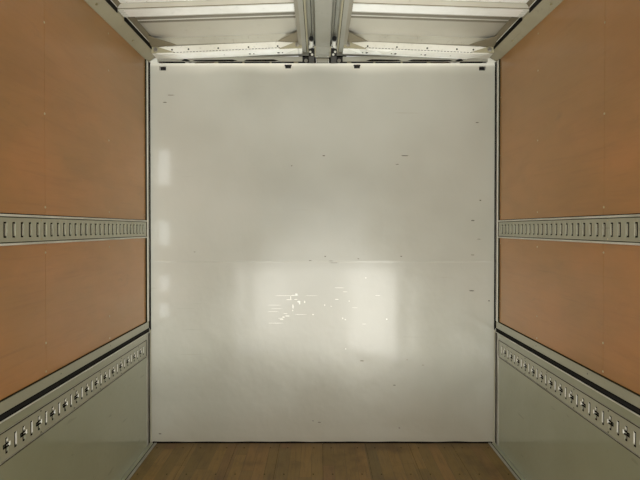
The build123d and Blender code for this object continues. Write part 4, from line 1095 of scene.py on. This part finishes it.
def beam_details():
    """Edge beads, gutters, end strips and plates of the centre beam, and the hinge rails beside it, with painted shade
    beside and under the hinge rails and on the end plate.
    """
    low = FLOOR + 2.687
    beads = rail([(0.0465, low - 0.0025), (0.0425, low - 0.0025), (0.0415, low + 0.001), (0.0475, low + 0.001),
                  (0.0485, low + 0.012), (0.0475, low + 0.014)], WALL_Y - 0.182).doubled(-1)
    beads.bar(-0.046, 0.046, WALL_Y - 0.046, low - 0.0008, low)
    for e in (1, -1):
        beads.block(-0.0467, 0.0467, e * (WALL_Y - 0.1812), e * (WALL_Y - 0.0455), BEAM_LOW - 0.0009, low + 0.0010)
    on_root("centre_beam_beads", beads, *BEAM, 0.0006)
    gutters = rail([(0.0475, low + 0.050), (0.0530, low + 0.046), (0.0570, low + 0.040), (0.0620, low + 0.038),
                    (0.0670, low + 0.042), (0.0690, low + 0.050), (0.0690, low + 0.053), (0.0475, low + 0.053)],
                   WALL_Y - 0.155)
    on_root("centre_beam_gutters", gutters.doubled(-1), *BEAM)
    flanks = rail([(0.0720, low + 0.052), (0.0860, low + 0.046), (HINGE_RAIL_IN + 0.001, low + 0.050),
                   (HINGE_RAIL_IN + 0.001, low + 0.054), (0.0720, low + 0.055)], WALL_Y - 0.155)
    on_pair("hinge_rail_flanks", flanks, *BEAM)
    # Painted shade: darker skirts and lines beside and under the hinge rails.
    rail_low = roof_inside(HINGE_RAIL_IN) - HINGE_RAIL_DEPTH
    skirt = rail([(HINGE_RAIL_OUT - 0.001, rail_low), (HINGE_RAIL_OUT + 0.022, rail_low + 0.006),
                  (HINGE_RAIL_OUT + 0.022, rail_low + 0.009), (HINGE_RAIL_OUT - 0.001, rail_low + 0.003)],
                 WING_END - END_BAR_WIDTH - 0.004)
    on_pair("hinge_rail_skirts", skirt, "grey_paint", SHADE_GREY)
    face = bar(HINGE_RAIL_IN + 0.0145, HINGE_RAIL_OUT - 0.0005, WING_END - 0.006, rail_low - 0.0006, rail_low + 0.001)
    on_pair("hinge_rail_faces", face, *BEAM)
    line = bar(HINGE_RAIL_IN + 0.0105, HINGE_RAIL_IN + 0.0140, WING_END - 0.010, rail_low - 0.0006, rail_low + 0.001)
    on_pair("hinge_rail_lines", line, *SHADE)
    ends = block(-0.047, 0.047, WALL_Y - 0.002, WALL_Y - 0.045, BEAM_LOW - 0.004, BEAM_LOW)
    on_root("centre_beam_end_strips", ends.doubled(1, -1), *BEAM, 0.001)
    # Painted shade and light on the end plate: a darker plate and shade lines over a lighter band.
    plate = Shape()
    shade = Shape()
    glint = Shape()
    for shape, x0, x1, bottom, top in (
        (shade, -0.044, 0.044, 2.6735, 2.6810), (plate, -0.042, 0.042, 2.6580, 2.6735),
        (glint, -0.040, 0.040, 2.6440, 2.6580), (shade, -0.044, 0.044, 2.6405, 2.6440),
        (shade, 0.0445, 0.0465, 2.6405, 2.6810), (shade, -0.0465, -0.0445, 2.6405, 2.6810),
    ):
        shape.block(x0, x1, WALL_Y + 0.0010, WALL_Y + 0.0080, FLOOR + bottom, FLOOR + top)
    on_root("beam_end_plate", plate, "grey_paint", SHADE_GREY)
    on_root("beam_end_plate_shade", shade, *SHADE)
    on_root("beam_end_plate_glint", glint, *BEAM)
    latch_gear(low)


def latch_gear(low):
    """Plates, coil springs, bosses, bolts and hooks beside the beam's ends, and the end strips' screws."""
    heads = Shape()
    gear = Shape()
    bright = Shape()
    chrome = Shape()
    for _, e in ENDS:
        for _, s in SIDES:
            def at(x, inset, z):
                return s * x, e * (WALL_Y - inset), low + z

            for shape, start, end in (
                (gear, (0.0495, 0.150, -0.004), (0.0540, 0.004, 0.058)),
                (gear, (0.0540, 0.008, -0.016), (0.0840, 0.004, 0.052)),
                (gear, (0.0560, 0.150, -0.056), (0.0930, 0.030, -0.006)),
                (bright, (0.0560, 0.1540, -0.002), (0.0905, 0.1505, 0.042)),
            ):
                shape.block(*(limit for pair in zip(at(*start), at(*end)) for limit in pair))
            y = WALL_Y - 0.150 if e > 0 else 0.004 - WALL_Y
            gear.block(s * 0.0540, s * 0.0780, y, y + 0.004, low + 0.030, low + 0.058)
            screw_head(heads, (s * 0.038, e * (WALL_Y - 0.022), BEAM_LOW - 0.004), (0, 0, -1), 0.0055, 0.0022)
            for x, z, radius in ((0.0660, 0.030, 0.0075), (0.0800, 0.022, 0.0085), (0.0680, 0.008, 0.0065)):
                bolt(chrome, at(x, 0.1540, z), (0, -e, 0), radius, 0.010)
            for x, z in ((0.0820, -0.026), (0.0700, -0.044)):
                bolt(bright, at(x, 0.1500, z), (0, -e, 0), 0.0050, 0.006)
            coils = [(k * 0.007, 0.0140 if k % 2 else 0.0095) for k in range(15)]
            bright.turned(at(0.0735, 0.2525, 0.014), (0, e, 0), coils, 16)
            gear.turned(at(0.0735, 0.2725, 0.014), (0, e, 0), [(0, 0.0145), (0.0198, 0.0145)], 16)
            gear.turned(at(0.0540, 0.070, 0.030), (s, 0, 0), [(0, 0.020), (0.010, 0.020), (0.012, 0.017)], 20)
            chrome.turned(at(0.0640, 0.070, 0.030), (s, 0, 0), [(0, 0.011), (0.012, 0.011), (0.014, 0.008)], 14)
            bolt(chrome, at(0.0540, 0.115, 0.036), (s, 0, 0), 0.009, 0.009)
            bolt(chrome, at(0.0540, 0.030, 0.012), (s, 0, 0), 0.008, 0.008)
            chrome.swept([at(0.0700 + 0.006 * math.cos(t * 1.1), 0.135 - t * 0.0022, 0.050 + 0.006 * math.sin(t * 1.1))
                          for t in range(34)], 0.0018, 6)
            chrome.swept([at(0.070, 0.055, 0.050), at(0.074, 0.040, 0.040), at(0.074, 0.030, 0.020),
                          at(0.070, 0.022, -0.004)], 0.0032, 8)
    on_root("centre_beam_screws", heads, "fittings_steel", BRIGHT_EDGE)
    on_root("latch_gear_plates", gear, "black_paint", None, 0.001)
    on_root("latch_gear_cheeks", bright, "fittings_steel", BRIGHT_EDGE, 0.0008)
    on_root("latch_gear_chrome", chrome, "fittings_steel", MAT["chromed_rod"])


def hinge_covers():
    """Rubber flaps that bend over the wing hinges between the beam's cap and the roof skin."""
    crown = BEAM_TOP + 0.0012
    rows = spread(-ROOF_END + 0.012, ROOF_END - 0.012, 40)
    columns = spread(0.023, 0.112, 15)
    for side, s in SIDES:
        verts = []
        for y in rows:
            for x in columns:
                skin = roof_inside(x) + SKIN + 0.0075
                share = min(1.0, max(0.0, (x - 0.030) / 0.060))
                share = share * share * (3 - 2 * share)
                verts.append((s * x, y, crown + (skin - crown) * share))
        cover = Shape().add(verts, grid_faces(len(rows), len(columns)))
        made = piece(f"hinge_cover_{side}", cover, None, "black_rubber")
        thick = made.modifiers.new("thickness", "SOLIDIFY")
        thick.thickness = 0.0025
        thick.offset = 0.0
        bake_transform(made)


# Side gates
def gate_details():
    """Fine grooves with painted shade in them and painted highlights beside them, end caps, top bead, screws, and
    painted shadow and light in the slots on each gate's inner face.
    """
    caps = Shape()
    lines = Shape()
    glints = Shape()
    for e in (1, -1):
        for inset, reach, proud, shape in ((0.064, 0.038, 0.0024, caps), (0.036, 0.011, 0.0006, lines),
                                           (0.009, 0.001, 0.0020, caps)):
            shape.block(WALL_X - proud, WALL_X + 0.0015, e * (GATE_END - inset), e * (GATE_END - reach),
                        GATE_LOW + 0.002, GATE_TOP - 0.004)
        lines.block(WALL_X - 0.0006, WALL_X + 0.002, e * (GATE_END - 0.0665), e * (GATE_END - 0.0645),
                    GATE_RAIL_LOW, GATE_RAIL_HIGH)
    for z in (GATE_RAIL_LOW, GATE_RAIL_HIGH):
        lines.bar(WALL_X - 0.0004, WALL_X + 0.002, GATE_END - 0.066, z - 0.0022, z + 0.0022)
        glints.bar(WALL_X - 0.0008, WALL_X + 0.002, GATE_END - 0.066, z + 0.0024, z + 0.0054)
    bead = rail([(WALL_X - 0.0016, GATE_TOP - 0.004), (WALL_X + 0.002, GATE_TOP - 0.005),
                 (WALL_X + 0.002, GATE_TOP + 0.0010), (WALL_X + 0.0005, GATE_TOP + 0.0015),
                 (WALL_X - 0.0016, GATE_TOP)], GATE_END)
    ys = spread(-GATE_END + 0.20, GATE_END - 0.20, 23)
    zs = (GATE_RAIL_LOW + 0.012, GATE_RAIL_HIGH - 0.012)
    heads = fittings(screw_head, [GATE_RAIL_X], ys, zs, (-1, 0, 0), 0.0036, 0.0012)
    shades = Shape()
    backing = Shape()
    edges = Shape()
    middle = (GATE_RAIL_LOW + GATE_RAIL_HIGH) / 2

    def behind(shape, x0, x1, y0, y1, z0, z1):
        shape.block(GATE_RAIL_X + x0, GATE_RAIL_X + x1, y0, y1, middle + z0, middle + z1)

    y = GATE_END - GATE_SLOT_FIRST
    while y > -GATE_END + 0.06:
        slot_shades(shades, GATE_RAIL_X, y, middle, GATE_SLOT)
        behind(backing, 0.0062, 0.0070, y - 0.004, y + 0.020, -0.028, 0.028)
        behind(edges, 0.0006, 0.0061, y + 0.0025, y + 0.0078, -0.020, 0.027)
        cross = y - GATE_PITCH / 2
        if cross > -GATE_END + 0.06:
            slot_shades(shades, GATE_RAIL_X, cross, middle, GATE_SLOT)
            slot_shades(shades, GATE_RAIL_X, cross, middle, GATE_ARM)
            behind(backing, 0.0062, 0.0070, cross - 0.002, cross + 0.022, -0.026, 0.026)
            behind(edges, 0.0006, 0.0061, cross + 0.0165, cross + 0.0218, -0.0085, 0.0085)
            behind(edges, 0.0006, 0.0061, cross - 0.0010, cross + 0.0076, 0.0150, 0.0270)
        y -= GATE_PITCH
    seal = bar(WALL_X + 0.004, OUTER_X - 0.004, GATE_END, GATE_TOP, GATE_TOP + 0.004)
    # Painted highlights beside the grooves and on the slots' far edges, painted shade in the grooves, painted light on
    # the slot backing, and top seals in black painted shade.
    for name, shape, slot, material, bevel in (
        ("gate_groove_glints", glints, "gate_aluminium", MAT["bare_metal"], 0.0),
        ("gate_end_caps", caps, "gate_aluminium", MAT["bare_metal"], 0.0006),
        ("gate_groove_lines", lines, *SHADE, 0.0),
        ("gate_beads", bead, "gate_aluminium", BRIGHT_EDGE, 0.0004),
        ("gate_rail_screws", heads, "fittings_steel", DARK_GREY_AND_SHADE, 0.0),
        ("gate_slot_shades", shades, *BLACK_SHADE, 0.0),
        ("gate_slot_backing", backing, "lashing_steel", BRIGHT_EDGE, 0.0),
        ("gate_slot_glints", edges, "lashing_steel", PAINTED_GLINT, 0.0),
        ("gate_top_seals", seal, *BLACK_SHADE, 0.001),
    ):
        on_pair(name, shape, slot, material, bevel, "gate")


def gate_outside():
    """Latch levers in their cases on each gate's outer face."""
    levers = Shape()
    cases = Shape()
    x = OUTER_X + 0.008
    z = GATE_TOP - 0.035
    for e in (1, -1):
        y = e * (GATE_END - 0.140)
        cases.block(x - 0.0005, x + 0.0015, y - 0.066, y + 0.066, z - 0.101, z - 0.004)
        levers.turned((x + 0.0010, y + e * 0.045, z - 0.028), (1, 0, 0),
                      [(0, 0.016), (0.004, 0.016), (0.0055, 0.013)], 18)
        levers.prism([(y + e * 0.056, z - 0.020), (y - e * 0.055, z - 0.046), (y - e * 0.055, z - 0.062),
                      (y + e * 0.050, z - 0.040)], "x", x + 0.0025, x + 0.0060)
        for dy in (-0.060, 0.060):
            for dz in (-0.012, -0.093):
                rivet(levers, (x + 0.0015, y + dy, z + dz), (1, 0, 0), 0.0040)
    on_pair("gate_latch_covers", cases, "fittings_steel", None, 0.0008, "gate")
    on_pair("gate_latch_levers", levers, "fittings_steel", BRIGHT_EDGE, 0.0008, "gate")


# Wing outside
def wing_outside():
    """Cover strips, rivets and drip edges on the white side panels and roof."""
    strips = Shape()
    heads = Shape()
    x = OUTER_X
    for y in spread(-STRIP_END, STRIP_END, 6)[1:-1]:
        strips.prism([(x - 0.0005, y - 0.022), (x + 0.0016, y - 0.020), (x + 0.0024, y - 0.006),
                      (x + 0.0024, y + 0.006), (x + 0.0016, y + 0.020), (x - 0.0005, y + 0.022)],
                     "z", PLY_LOW + 0.002, PLY_HIGH - 0.040)
        for z in spread(PLY_LOW + 0.05, PLY_HIGH - 0.09, 18):
            for dy in (-0.014, 0.014):
                rivet(heads, (x + 0.0018, y + dy, z), (1, 0, 0), 0.0034)
    for z in (PLY_LOW, PLY_HIGH - 0.020):
        strips.rail([(x - 0.0005, z - 0.020), (x + 0.0020, z - 0.018), (x + 0.0040, z - 0.004),
                     (x + 0.0040, z + 0.004), (x + 0.0020, z + 0.018), (x - 0.0005, z + 0.020)], STRIP_END)
        for y in spread(-STRIP_END + 0.06, STRIP_END - 0.06, 42):
            for dz in (-0.013, 0.013):
                rivet(heads, (x + 0.0020, y, z + dz), (1, 0, 0), 0.0030)
    on_pair("side_cover_strips", strips, "bare_metal")
    on_pair("side_rivets", heads, *STUDS)
    seams = Shape()
    heads = Shape()
    x0, x1 = 0.140, OUTER_X - 0.045
    for y in RIB_PLACES:
        seams.tube([(x, y + dy, roof_inside(x) + SKIN + dz) for x in (x0, x1)
                    for dy, dz in ((-0.030, 0.0), (-0.026, 0.0014), (0.026, 0.0014), (0.030, 0.0))], 4)
        for x in spread(x0 + 0.03, x1 - 0.03, 14):
            for dy in (-0.018, 0.018):
                rivet(heads, (x, y + dy, roof_inside(x) + SKIN + 0.0014), (0, 0, 1), 0.0034)
    on_pair("roof_joint_strips", seams, "roof_aluminium", MAT["bare_metal"])
    on_pair("roof_joint_rivets", heads, *STUDS)


# Cylinders
def cylinder_details():
    """Pins, wiper collars, oil ports and clipped pipes of the wing cylinders."""
    y, z = CYLINDER_Y, CYLINDER_Z
    along, across = (1, 0, 0), (0, 1, 0)
    bands = Shape()
    bands.turned((PIN_X + 0.612, y, z), along, [(0, 0.0318), (0.026, 0.0318), (0.030, 0.0285), (0.0300, 0.0175)], 28)
    bands.turned((PIN_X + 0.054, y, z), along, [(0, 0.0285), (0.002, 0.0318), (0.030, 0.0318), (0.032, 0.0302)], 28)
    for x in (0.24, 0.43):
        bands.turned((PIN_X + x, y, z), along, [(0, 0.0304), (0.001, 0.0316), (0.013, 0.0316), (0.014, 0.0304)], 28)
    path = [(0.075, 0.012, 0.026), (0.100, 0.018, 0.034), (0.16, 0.020, 0.0355), (0.40, 0.020, 0.0355),
            (0.56, 0.020, 0.0355), (0.610, 0.018, 0.034), (0.632, 0.012, 0.026)]
    pipes = Shape().swept([(PIN_X + a, y - b, z - c) for a, b, c in path], 0.0060, 10)
    for x in (0.15, 0.33, 0.50):
        pipes.turned((PIN_X + x, y - 0.020, z - 0.0350), along, [(0, 0.0085), (0.022, 0.0085)], 12)
    ports = Shape()
    for x in (0.083, 0.622):
        ports.turned((PIN_X + x, y - 0.010, z - 0.024), (0, -0.4, -1), [(0, 0.011), (0.010, 0.011), (0.011, 0.009)], 6)
    ports.turned((PIN_X + 0.405, y - 0.020, z - 0.0355), along,
                 [(0, 0.0075), (0.002, 0.0095), (0.026, 0.0095), (0.028, 0.0075)], 6)
    pin = Shape().turned((EYE_X, y - 0.027, z), across, [(0, 0.0135), (0.003, 0.0145), (0.004, 0.0100),
                                                         (0.050, 0.0100), (0.0505, 0.0130), (0.054, 0.0120)], 20)
    caps = Shape()
    for dy in (-0.0335, 0.0300):
        caps.turned((PIN_X, y + dy, z), across, [(0, 0.013), (0.0035, 0.013)], 20)
    for end, e in ENDS:
        for side, s in SIDES:
            at = f"{end}_{side}"
            for name, shape, body, slot, material, bevel in (
                ("cylinder_bands", bands, f"barrel_{at}", "black_paint", MAT["grey_paint"], 0.0005),
                ("cylinder_pipe", pipes, f"barrel_{at}", "black_rubber", None, 0.0),
                ("cylinder_ports", ports, f"barrel_{at}", "fittings_steel", MAT["chromed_rod"], 0.0004),
                ("cylinder_pin", pin, f"wing_{side}", "fittings_steel", None, 0.0),
                ("base_pin_caps", caps, "root", "fittings_steel", None, 0.0005),
            ):
                piece(f"{name}_{at}", shape.mirrored(s, e), body, slot, material, bevel)


# Rear doors and rear frame
def door_details():
    """Gasket, inner lining, rivets, lock handles and cams of each rear door, drawn as it stands open."""
    x_in, x_out = DOOR_IN, DOOR_OUT
    far, near = DOOR_FAR, DOOR_NEAR
    low, top = DOOR_LOW, DOOR_TOP
    gasket = Shape()
    for y0, y1, z0, z1 in ((far, near, low, low + 0.016), (far, near, top - 0.016, top),
                           (far, far + 0.016, low, top), (near - 0.016, near, low, top)):
        gasket.block(x_in - 0.0025, x_in + 0.001, y0 + 0.001, y1 - 0.001, z0 + 0.001, z1 - 0.001)
    lining = block(x_in - 0.0012, x_in + 0.001, far + 0.030, near - 0.030, low + 0.045, top - 0.040)
    heads = Shape()
    for y in spread(far + 0.045, near - 0.045, 7):
        for z in (low + 0.060, top - 0.055):
            rivet(heads, (x_in - 0.0012, y, z), (-1, 0, 0), 0.0036)
    for z in spread(low + 0.060, top - 0.055, 14):
        for y in (far + 0.045, near - 0.045):
            rivet(heads, (x_in - 0.0012, y, z), (-1, 0, 0), 0.0036)
        for y in (far + 0.018, near - 0.018):
            rivet(heads, (x_out, y, z), (1, 0, 0), 0.0034)
    cams = Shape()
    handle = Shape()
    x = x_out + 0.016
    hub = FLOOR + 1.02
    for y in (near - 0.392, far + 0.104):
        for z, s in ((low, -1), (top, 1)):
            cams.turned((x, y, z - s * 0.026), (0, 0, s), [(0, 0.0125), (0.024, 0.0125), (0.026, 0.010)], 16)
            cams.block(x - 0.015, x - 0.002, y - 0.012, y + 0.012, z - s * 0.020, z - s * 0.004)
        cams.turned((x, y, hub - 0.030), (0, 0, 1), [(0, 0.0140), (0.060, 0.0140)], 16)
        handle.block(x - 0.004, x + 0.0030, y + 0.012, y + 0.280, hub - 0.014, hub + 0.014)
        handle.turned((x - 0.0005, y + 0.272, hub), (0, 1, 0), [(0, 0.0085), (0.060, 0.0085), (0.066, 0.0060)], 14)
        handle.block(x_out, x_out + 0.012, y + 0.200, y + 0.232, hub - 0.032, hub - 0.022)
        handle.block(x_out, x_out + 0.004, y + 0.190, y + 0.242, hub - 0.048, hub + 0.030)
        for dz in (-0.040, 0.022):
            rivet(handle, (x_out + 0.004, y + 0.216, hub + dz), (1, 0, 0), 0.0045)
    for name, shape, slot, material, bevel in (
        ("door_gaskets", gasket, "black_rubber", None, 0.0008),
        ("door_inner_sheets", lining, "white_sheet", MAT["white_frame"], 0.0),
        ("door_rivets", heads, *STUDS, 0.0),
        ("door_lock_cams", cams, "fittings_steel", None, 0.0006),
        ("door_lock_handles", handle, "fittings_steel", BRIGHT_EDGE, 0.0010),
    ):
        on_pair(name, shape, slot, material, bevel, "door")


def rear_frame_details():
    """Keepers for the lock cams and hinge bolts on the rear frame."""
    keepers = Shape()
    bolts = Shape()
    for s in (1, -1):
        for x in (0.110, 0.820):
            for dx in (-0.026, 0.026):
                keepers.block(s * (x + dx) - 0.005, s * (x + dx) + 0.005, REAR_Y - 0.003, REAR_Y + 0.001,
                              SILL_LOW + 0.006, FLOOR - 0.036)
        for z in spread(DOOR_LOW + 0.16, DOOR_TOP - 0.16, 4):
            for dz in (-0.062, 0.062):
                for dy in (0.030, 0.065):
                    bolt(bolts, (s * (OUTER_X + 0.0095), REAR_Y + dy, z + dz * 0.72), (s, 0, 0), 0.0065, 0.005)
    on_root("rear_lock_keepers", keepers, "fittings_steel", None, 0.001)
    on_root("rear_hinge_bolts", bolts, "fittings_steel")


def lamp_details():
    """Ribbed lenses and bezels over the lamp housings."""
    lenses = {"amber": Shape(), "red": Shape(), "clear": Shape()}
    bezel = Shape()
    rear = REAR_Y - 0.018
    front = FRONT_Y + 0.038
    z_tail = 0.185
    third = 0.260 / 3

    def lens(kind, middle, wide, y, z, tall, s):
        lenses[kind].block(middle - wide + 0.003, middle + wide - 0.003, y - s * 0.001, y + s * 0.0035,
                           z - tall + 0.003, z + tall - 0.003)

    for s in (1, -1):
        lens("red", s * (OUTER_X - 0.197), 0.045, rear, FRAME_TOP - 0.030, 0.014, -1)
        lens("amber", s * (OUTER_X - 0.197), 0.045, front, FRAME_TOP - 0.100, 0.014, 1)
        tail = s * (OUTER_X - 0.287)
        for k, kind in enumerate(("red", "amber", "clear")):
            lens(kind, tail + s * (0.130 - third * (k + 0.5)), third / 2, rear, z_tail, 0.035, -1)
        bezel.block(tail - 0.133, tail + 0.133, rear - 0.0005, rear + 0.016, z_tail - 0.0348, z_tail + 0.0348)
    on_root("amber_lenses", lenses["amber"], "lamp_plastic", None, 0.0012)
    on_root("red_lenses", lenses["red"], "lamp_plastic", RED_LENS, 0.0012)
    on_root("clear_lenses", lenses["clear"], "lamp_plastic", CLEAR_LENS, 0.0012)
    on_root("tail_lamp_bezels", bezel, "black_rubber", None, 0.0010)


def front_outside():
    """Rivets down the front panel's edges, and in its hollows along the top and foot."""
    y = FRONT_Y + 0.0022
    sides = (OUTER_X - 0.014, 0.014 - OUTER_X)
    heads = fittings(rivet, sides, [y], spread(FLOOR + 0.04, FRAME_TOP - 0.05, 26), (0, 1, 0), 0.0036)
    pitch = 2 * OUTER_X / 16
    for x in spread(-1.15, 1.15, 24):
        if ((x + OUTER_X) % pitch) / pitch < 0.33:
            for z in (FLOOR - 0.10, FRAME_TOP - 0.020):
                rivet(heads, (x, y, z), (0, 1, 0), 0.0036)
    on_root("front_panel_rivets", heads, *STUDS)


# Stage, lamps and camera
def stage():
    """A pale floor under the hanging gates' reach and the sky's soft light."""
    mesh = bpy.data.meshes.new("studio_floor")
    half = 30.0
    z = -0.62
    mesh.from_pydata([(-half, -half, z), (half, -half, z), (half, half, z), (-half, half, z)], [], [(0, 1, 2, 3)])
    ground = bpy.data.objects.new("studio_floor", mesh)
    bpy.context.scene.collection.objects.link(ground)
    f = Finish("studio_floor_paint", 0.8)
    f.colour(f.mix(f.step(f.noise(0.6, 3.0), 0.3, 0.7), (208, 207, 204), (202, 201, 198)))
    mesh.materials.append(f.mat)
    world = bpy.data.worlds.new("soft_sky")
    world.use_nodes = True
    back = world.node_tree.nodes["Background"]
    back.inputs["Color"].default_value = srgb(236, 238, 240)
    back.inputs["Strength"].default_value = 0.85
    bpy.context.scene.world = world


def area_lamp(name, place, aim, size, power, colour=(0.89, 0.96, 1.0), glossy=True, diffuse=True, spread=None):
    """A soft rectangular lamp that the camera doesn't see."""
    data = bpy.data.lights.new(name, "AREA")
    data.shape = "RECTANGLE"
    data.size, data.size_y = size
    data.energy = power
    data.color = colour
    if spread:
        data.spread = spread
    lamp = bpy.data.objects.new(name, data)
    bpy.context.scene.collection.objects.link(lamp)
    lamp.location = place
    lamp.rotation_euler = (Vector(aim) - Vector(place)).to_track_quat("-Z", "Y").to_euler()
    lamp.visible_camera = False
    lamp.visible_glossy = glossy
    lamp.visible_diffuse = diffuse
    return lamp


def soften_near(lamp, smooth):
    """Takes the glare off what stands close to a lamp, as daylight from a wide doorway has none."""
    lamp.data.use_nodes = True
    tree = lamp.data.node_tree
    fall = tree.nodes.new("ShaderNodeLightFalloff")
    fall.inputs["Strength"].default_value = 1.0
    fall.inputs["Smooth"].default_value = smooth
    tree.links.new(fall.outputs["Quadratic"], tree.nodes["Emission"].inputs["Strength"])


DAYLIGHT = (0.91, 0.955, 0.955)
SHEEN = (1.0, 0.985, 0.93)
SIDE_GLINTS = [  # height, length, width
    (2.205, 0.26, 0.07),
    (1.720, 0.18, 0.06),
    (1.350, 0.12, 0.05),
    (1.150, 0.09, 0.05),
]


def lamps():
    """Daylight from the rear doorway, light thrown up at the roof, the wall's sheen, and outside keys."""
    daylight = area_lamp("doorway_daylight", (0, -3.0, 1.55), (0, 3.0, 1.75), (1.9, 1.7), 545, DAYLIGHT, glossy=False)
    soften_near(daylight, 26.0)
    area_lamp("ceiling_bounce", (0, 0.2, 1.70), (0, 0.2, 3.0), (1.8, 5.4), 26, glossy=False, spread=1.1)
    area_lamp("end_bar_bounce", (0, 3.0, 2.30), (0, 3.02, 2.93), (2.0, 0.16), 0.6, glossy=False, spread=0.5)
    for name, x, y, z, size, power in (
        ("doorway_mirror", -0.02, 1.0, 0.77, (1.86, 1.12), 24),
        ("doorway_mirror_right", 0.61, 0.99, 0.76, (0.60, 1.00), 10),
        ("doorway_mirror_left", -0.62, 0.99, 0.92, (0.46, 0.62), 3.2),
    ):
        area_lamp(name, (x, y, z), (x, 3.0, z), size, power, SHEEN, diffuse=False)
    for z, length, width in SIDE_GLINTS:
        power = 11.0 * width * length
        area_lamp("wall_side_glint", (-1.165, 2.90, z), (-1.125, 3.10, z), (width, length), power, diffuse=False)
    area_lamp("outside_key", (9.0, 7.0, 9.0), (0, 0, 1.0), (6.0, 6.0), 1350)
    area_lamp("outside_fill", (-9.0, -8.0, 6.0), (0, 0, 1.0), (7.0, 7.0), 820)


def camera():
    """The photograph's own place and angle inside the load space."""
    data = bpy.data.cameras.new("photo_camera")
    data.lens = 25.875
    data.sensor_width = 36.0
    data.shift_x = 0.0011
    data.shift_y = -0.0116
    data.clip_start = 0.02
    data.clip_end = 200.0
    made = bpy.data.objects.new("photo_camera", data)
    bpy.context.scene.collection.objects.link(made)
    made.location = (-0.0226, -0.10, 1.756)
    dip = 0.54
    made.rotation_euler = (math.radians(90.0 - dip), 0.0, 0.0)
    bpy.context.scene.camera = made


dress_solids()
front_wall()
wall_corner_seals()
floor_details()
plywood_sheets()
lashing_lips()
shoulder_details()
wing_bottom_details()
rib_details()
end_bar_details()
beam_details()
hinge_covers()
gate_details()
gate_outside()
wing_outside()
cylinder_details()
door_details()
rear_frame_details()
lamp_details()
front_outside()
stage()
lamps()
camera()
bpy.context.scene.view_settings.view_transform = "Standard"
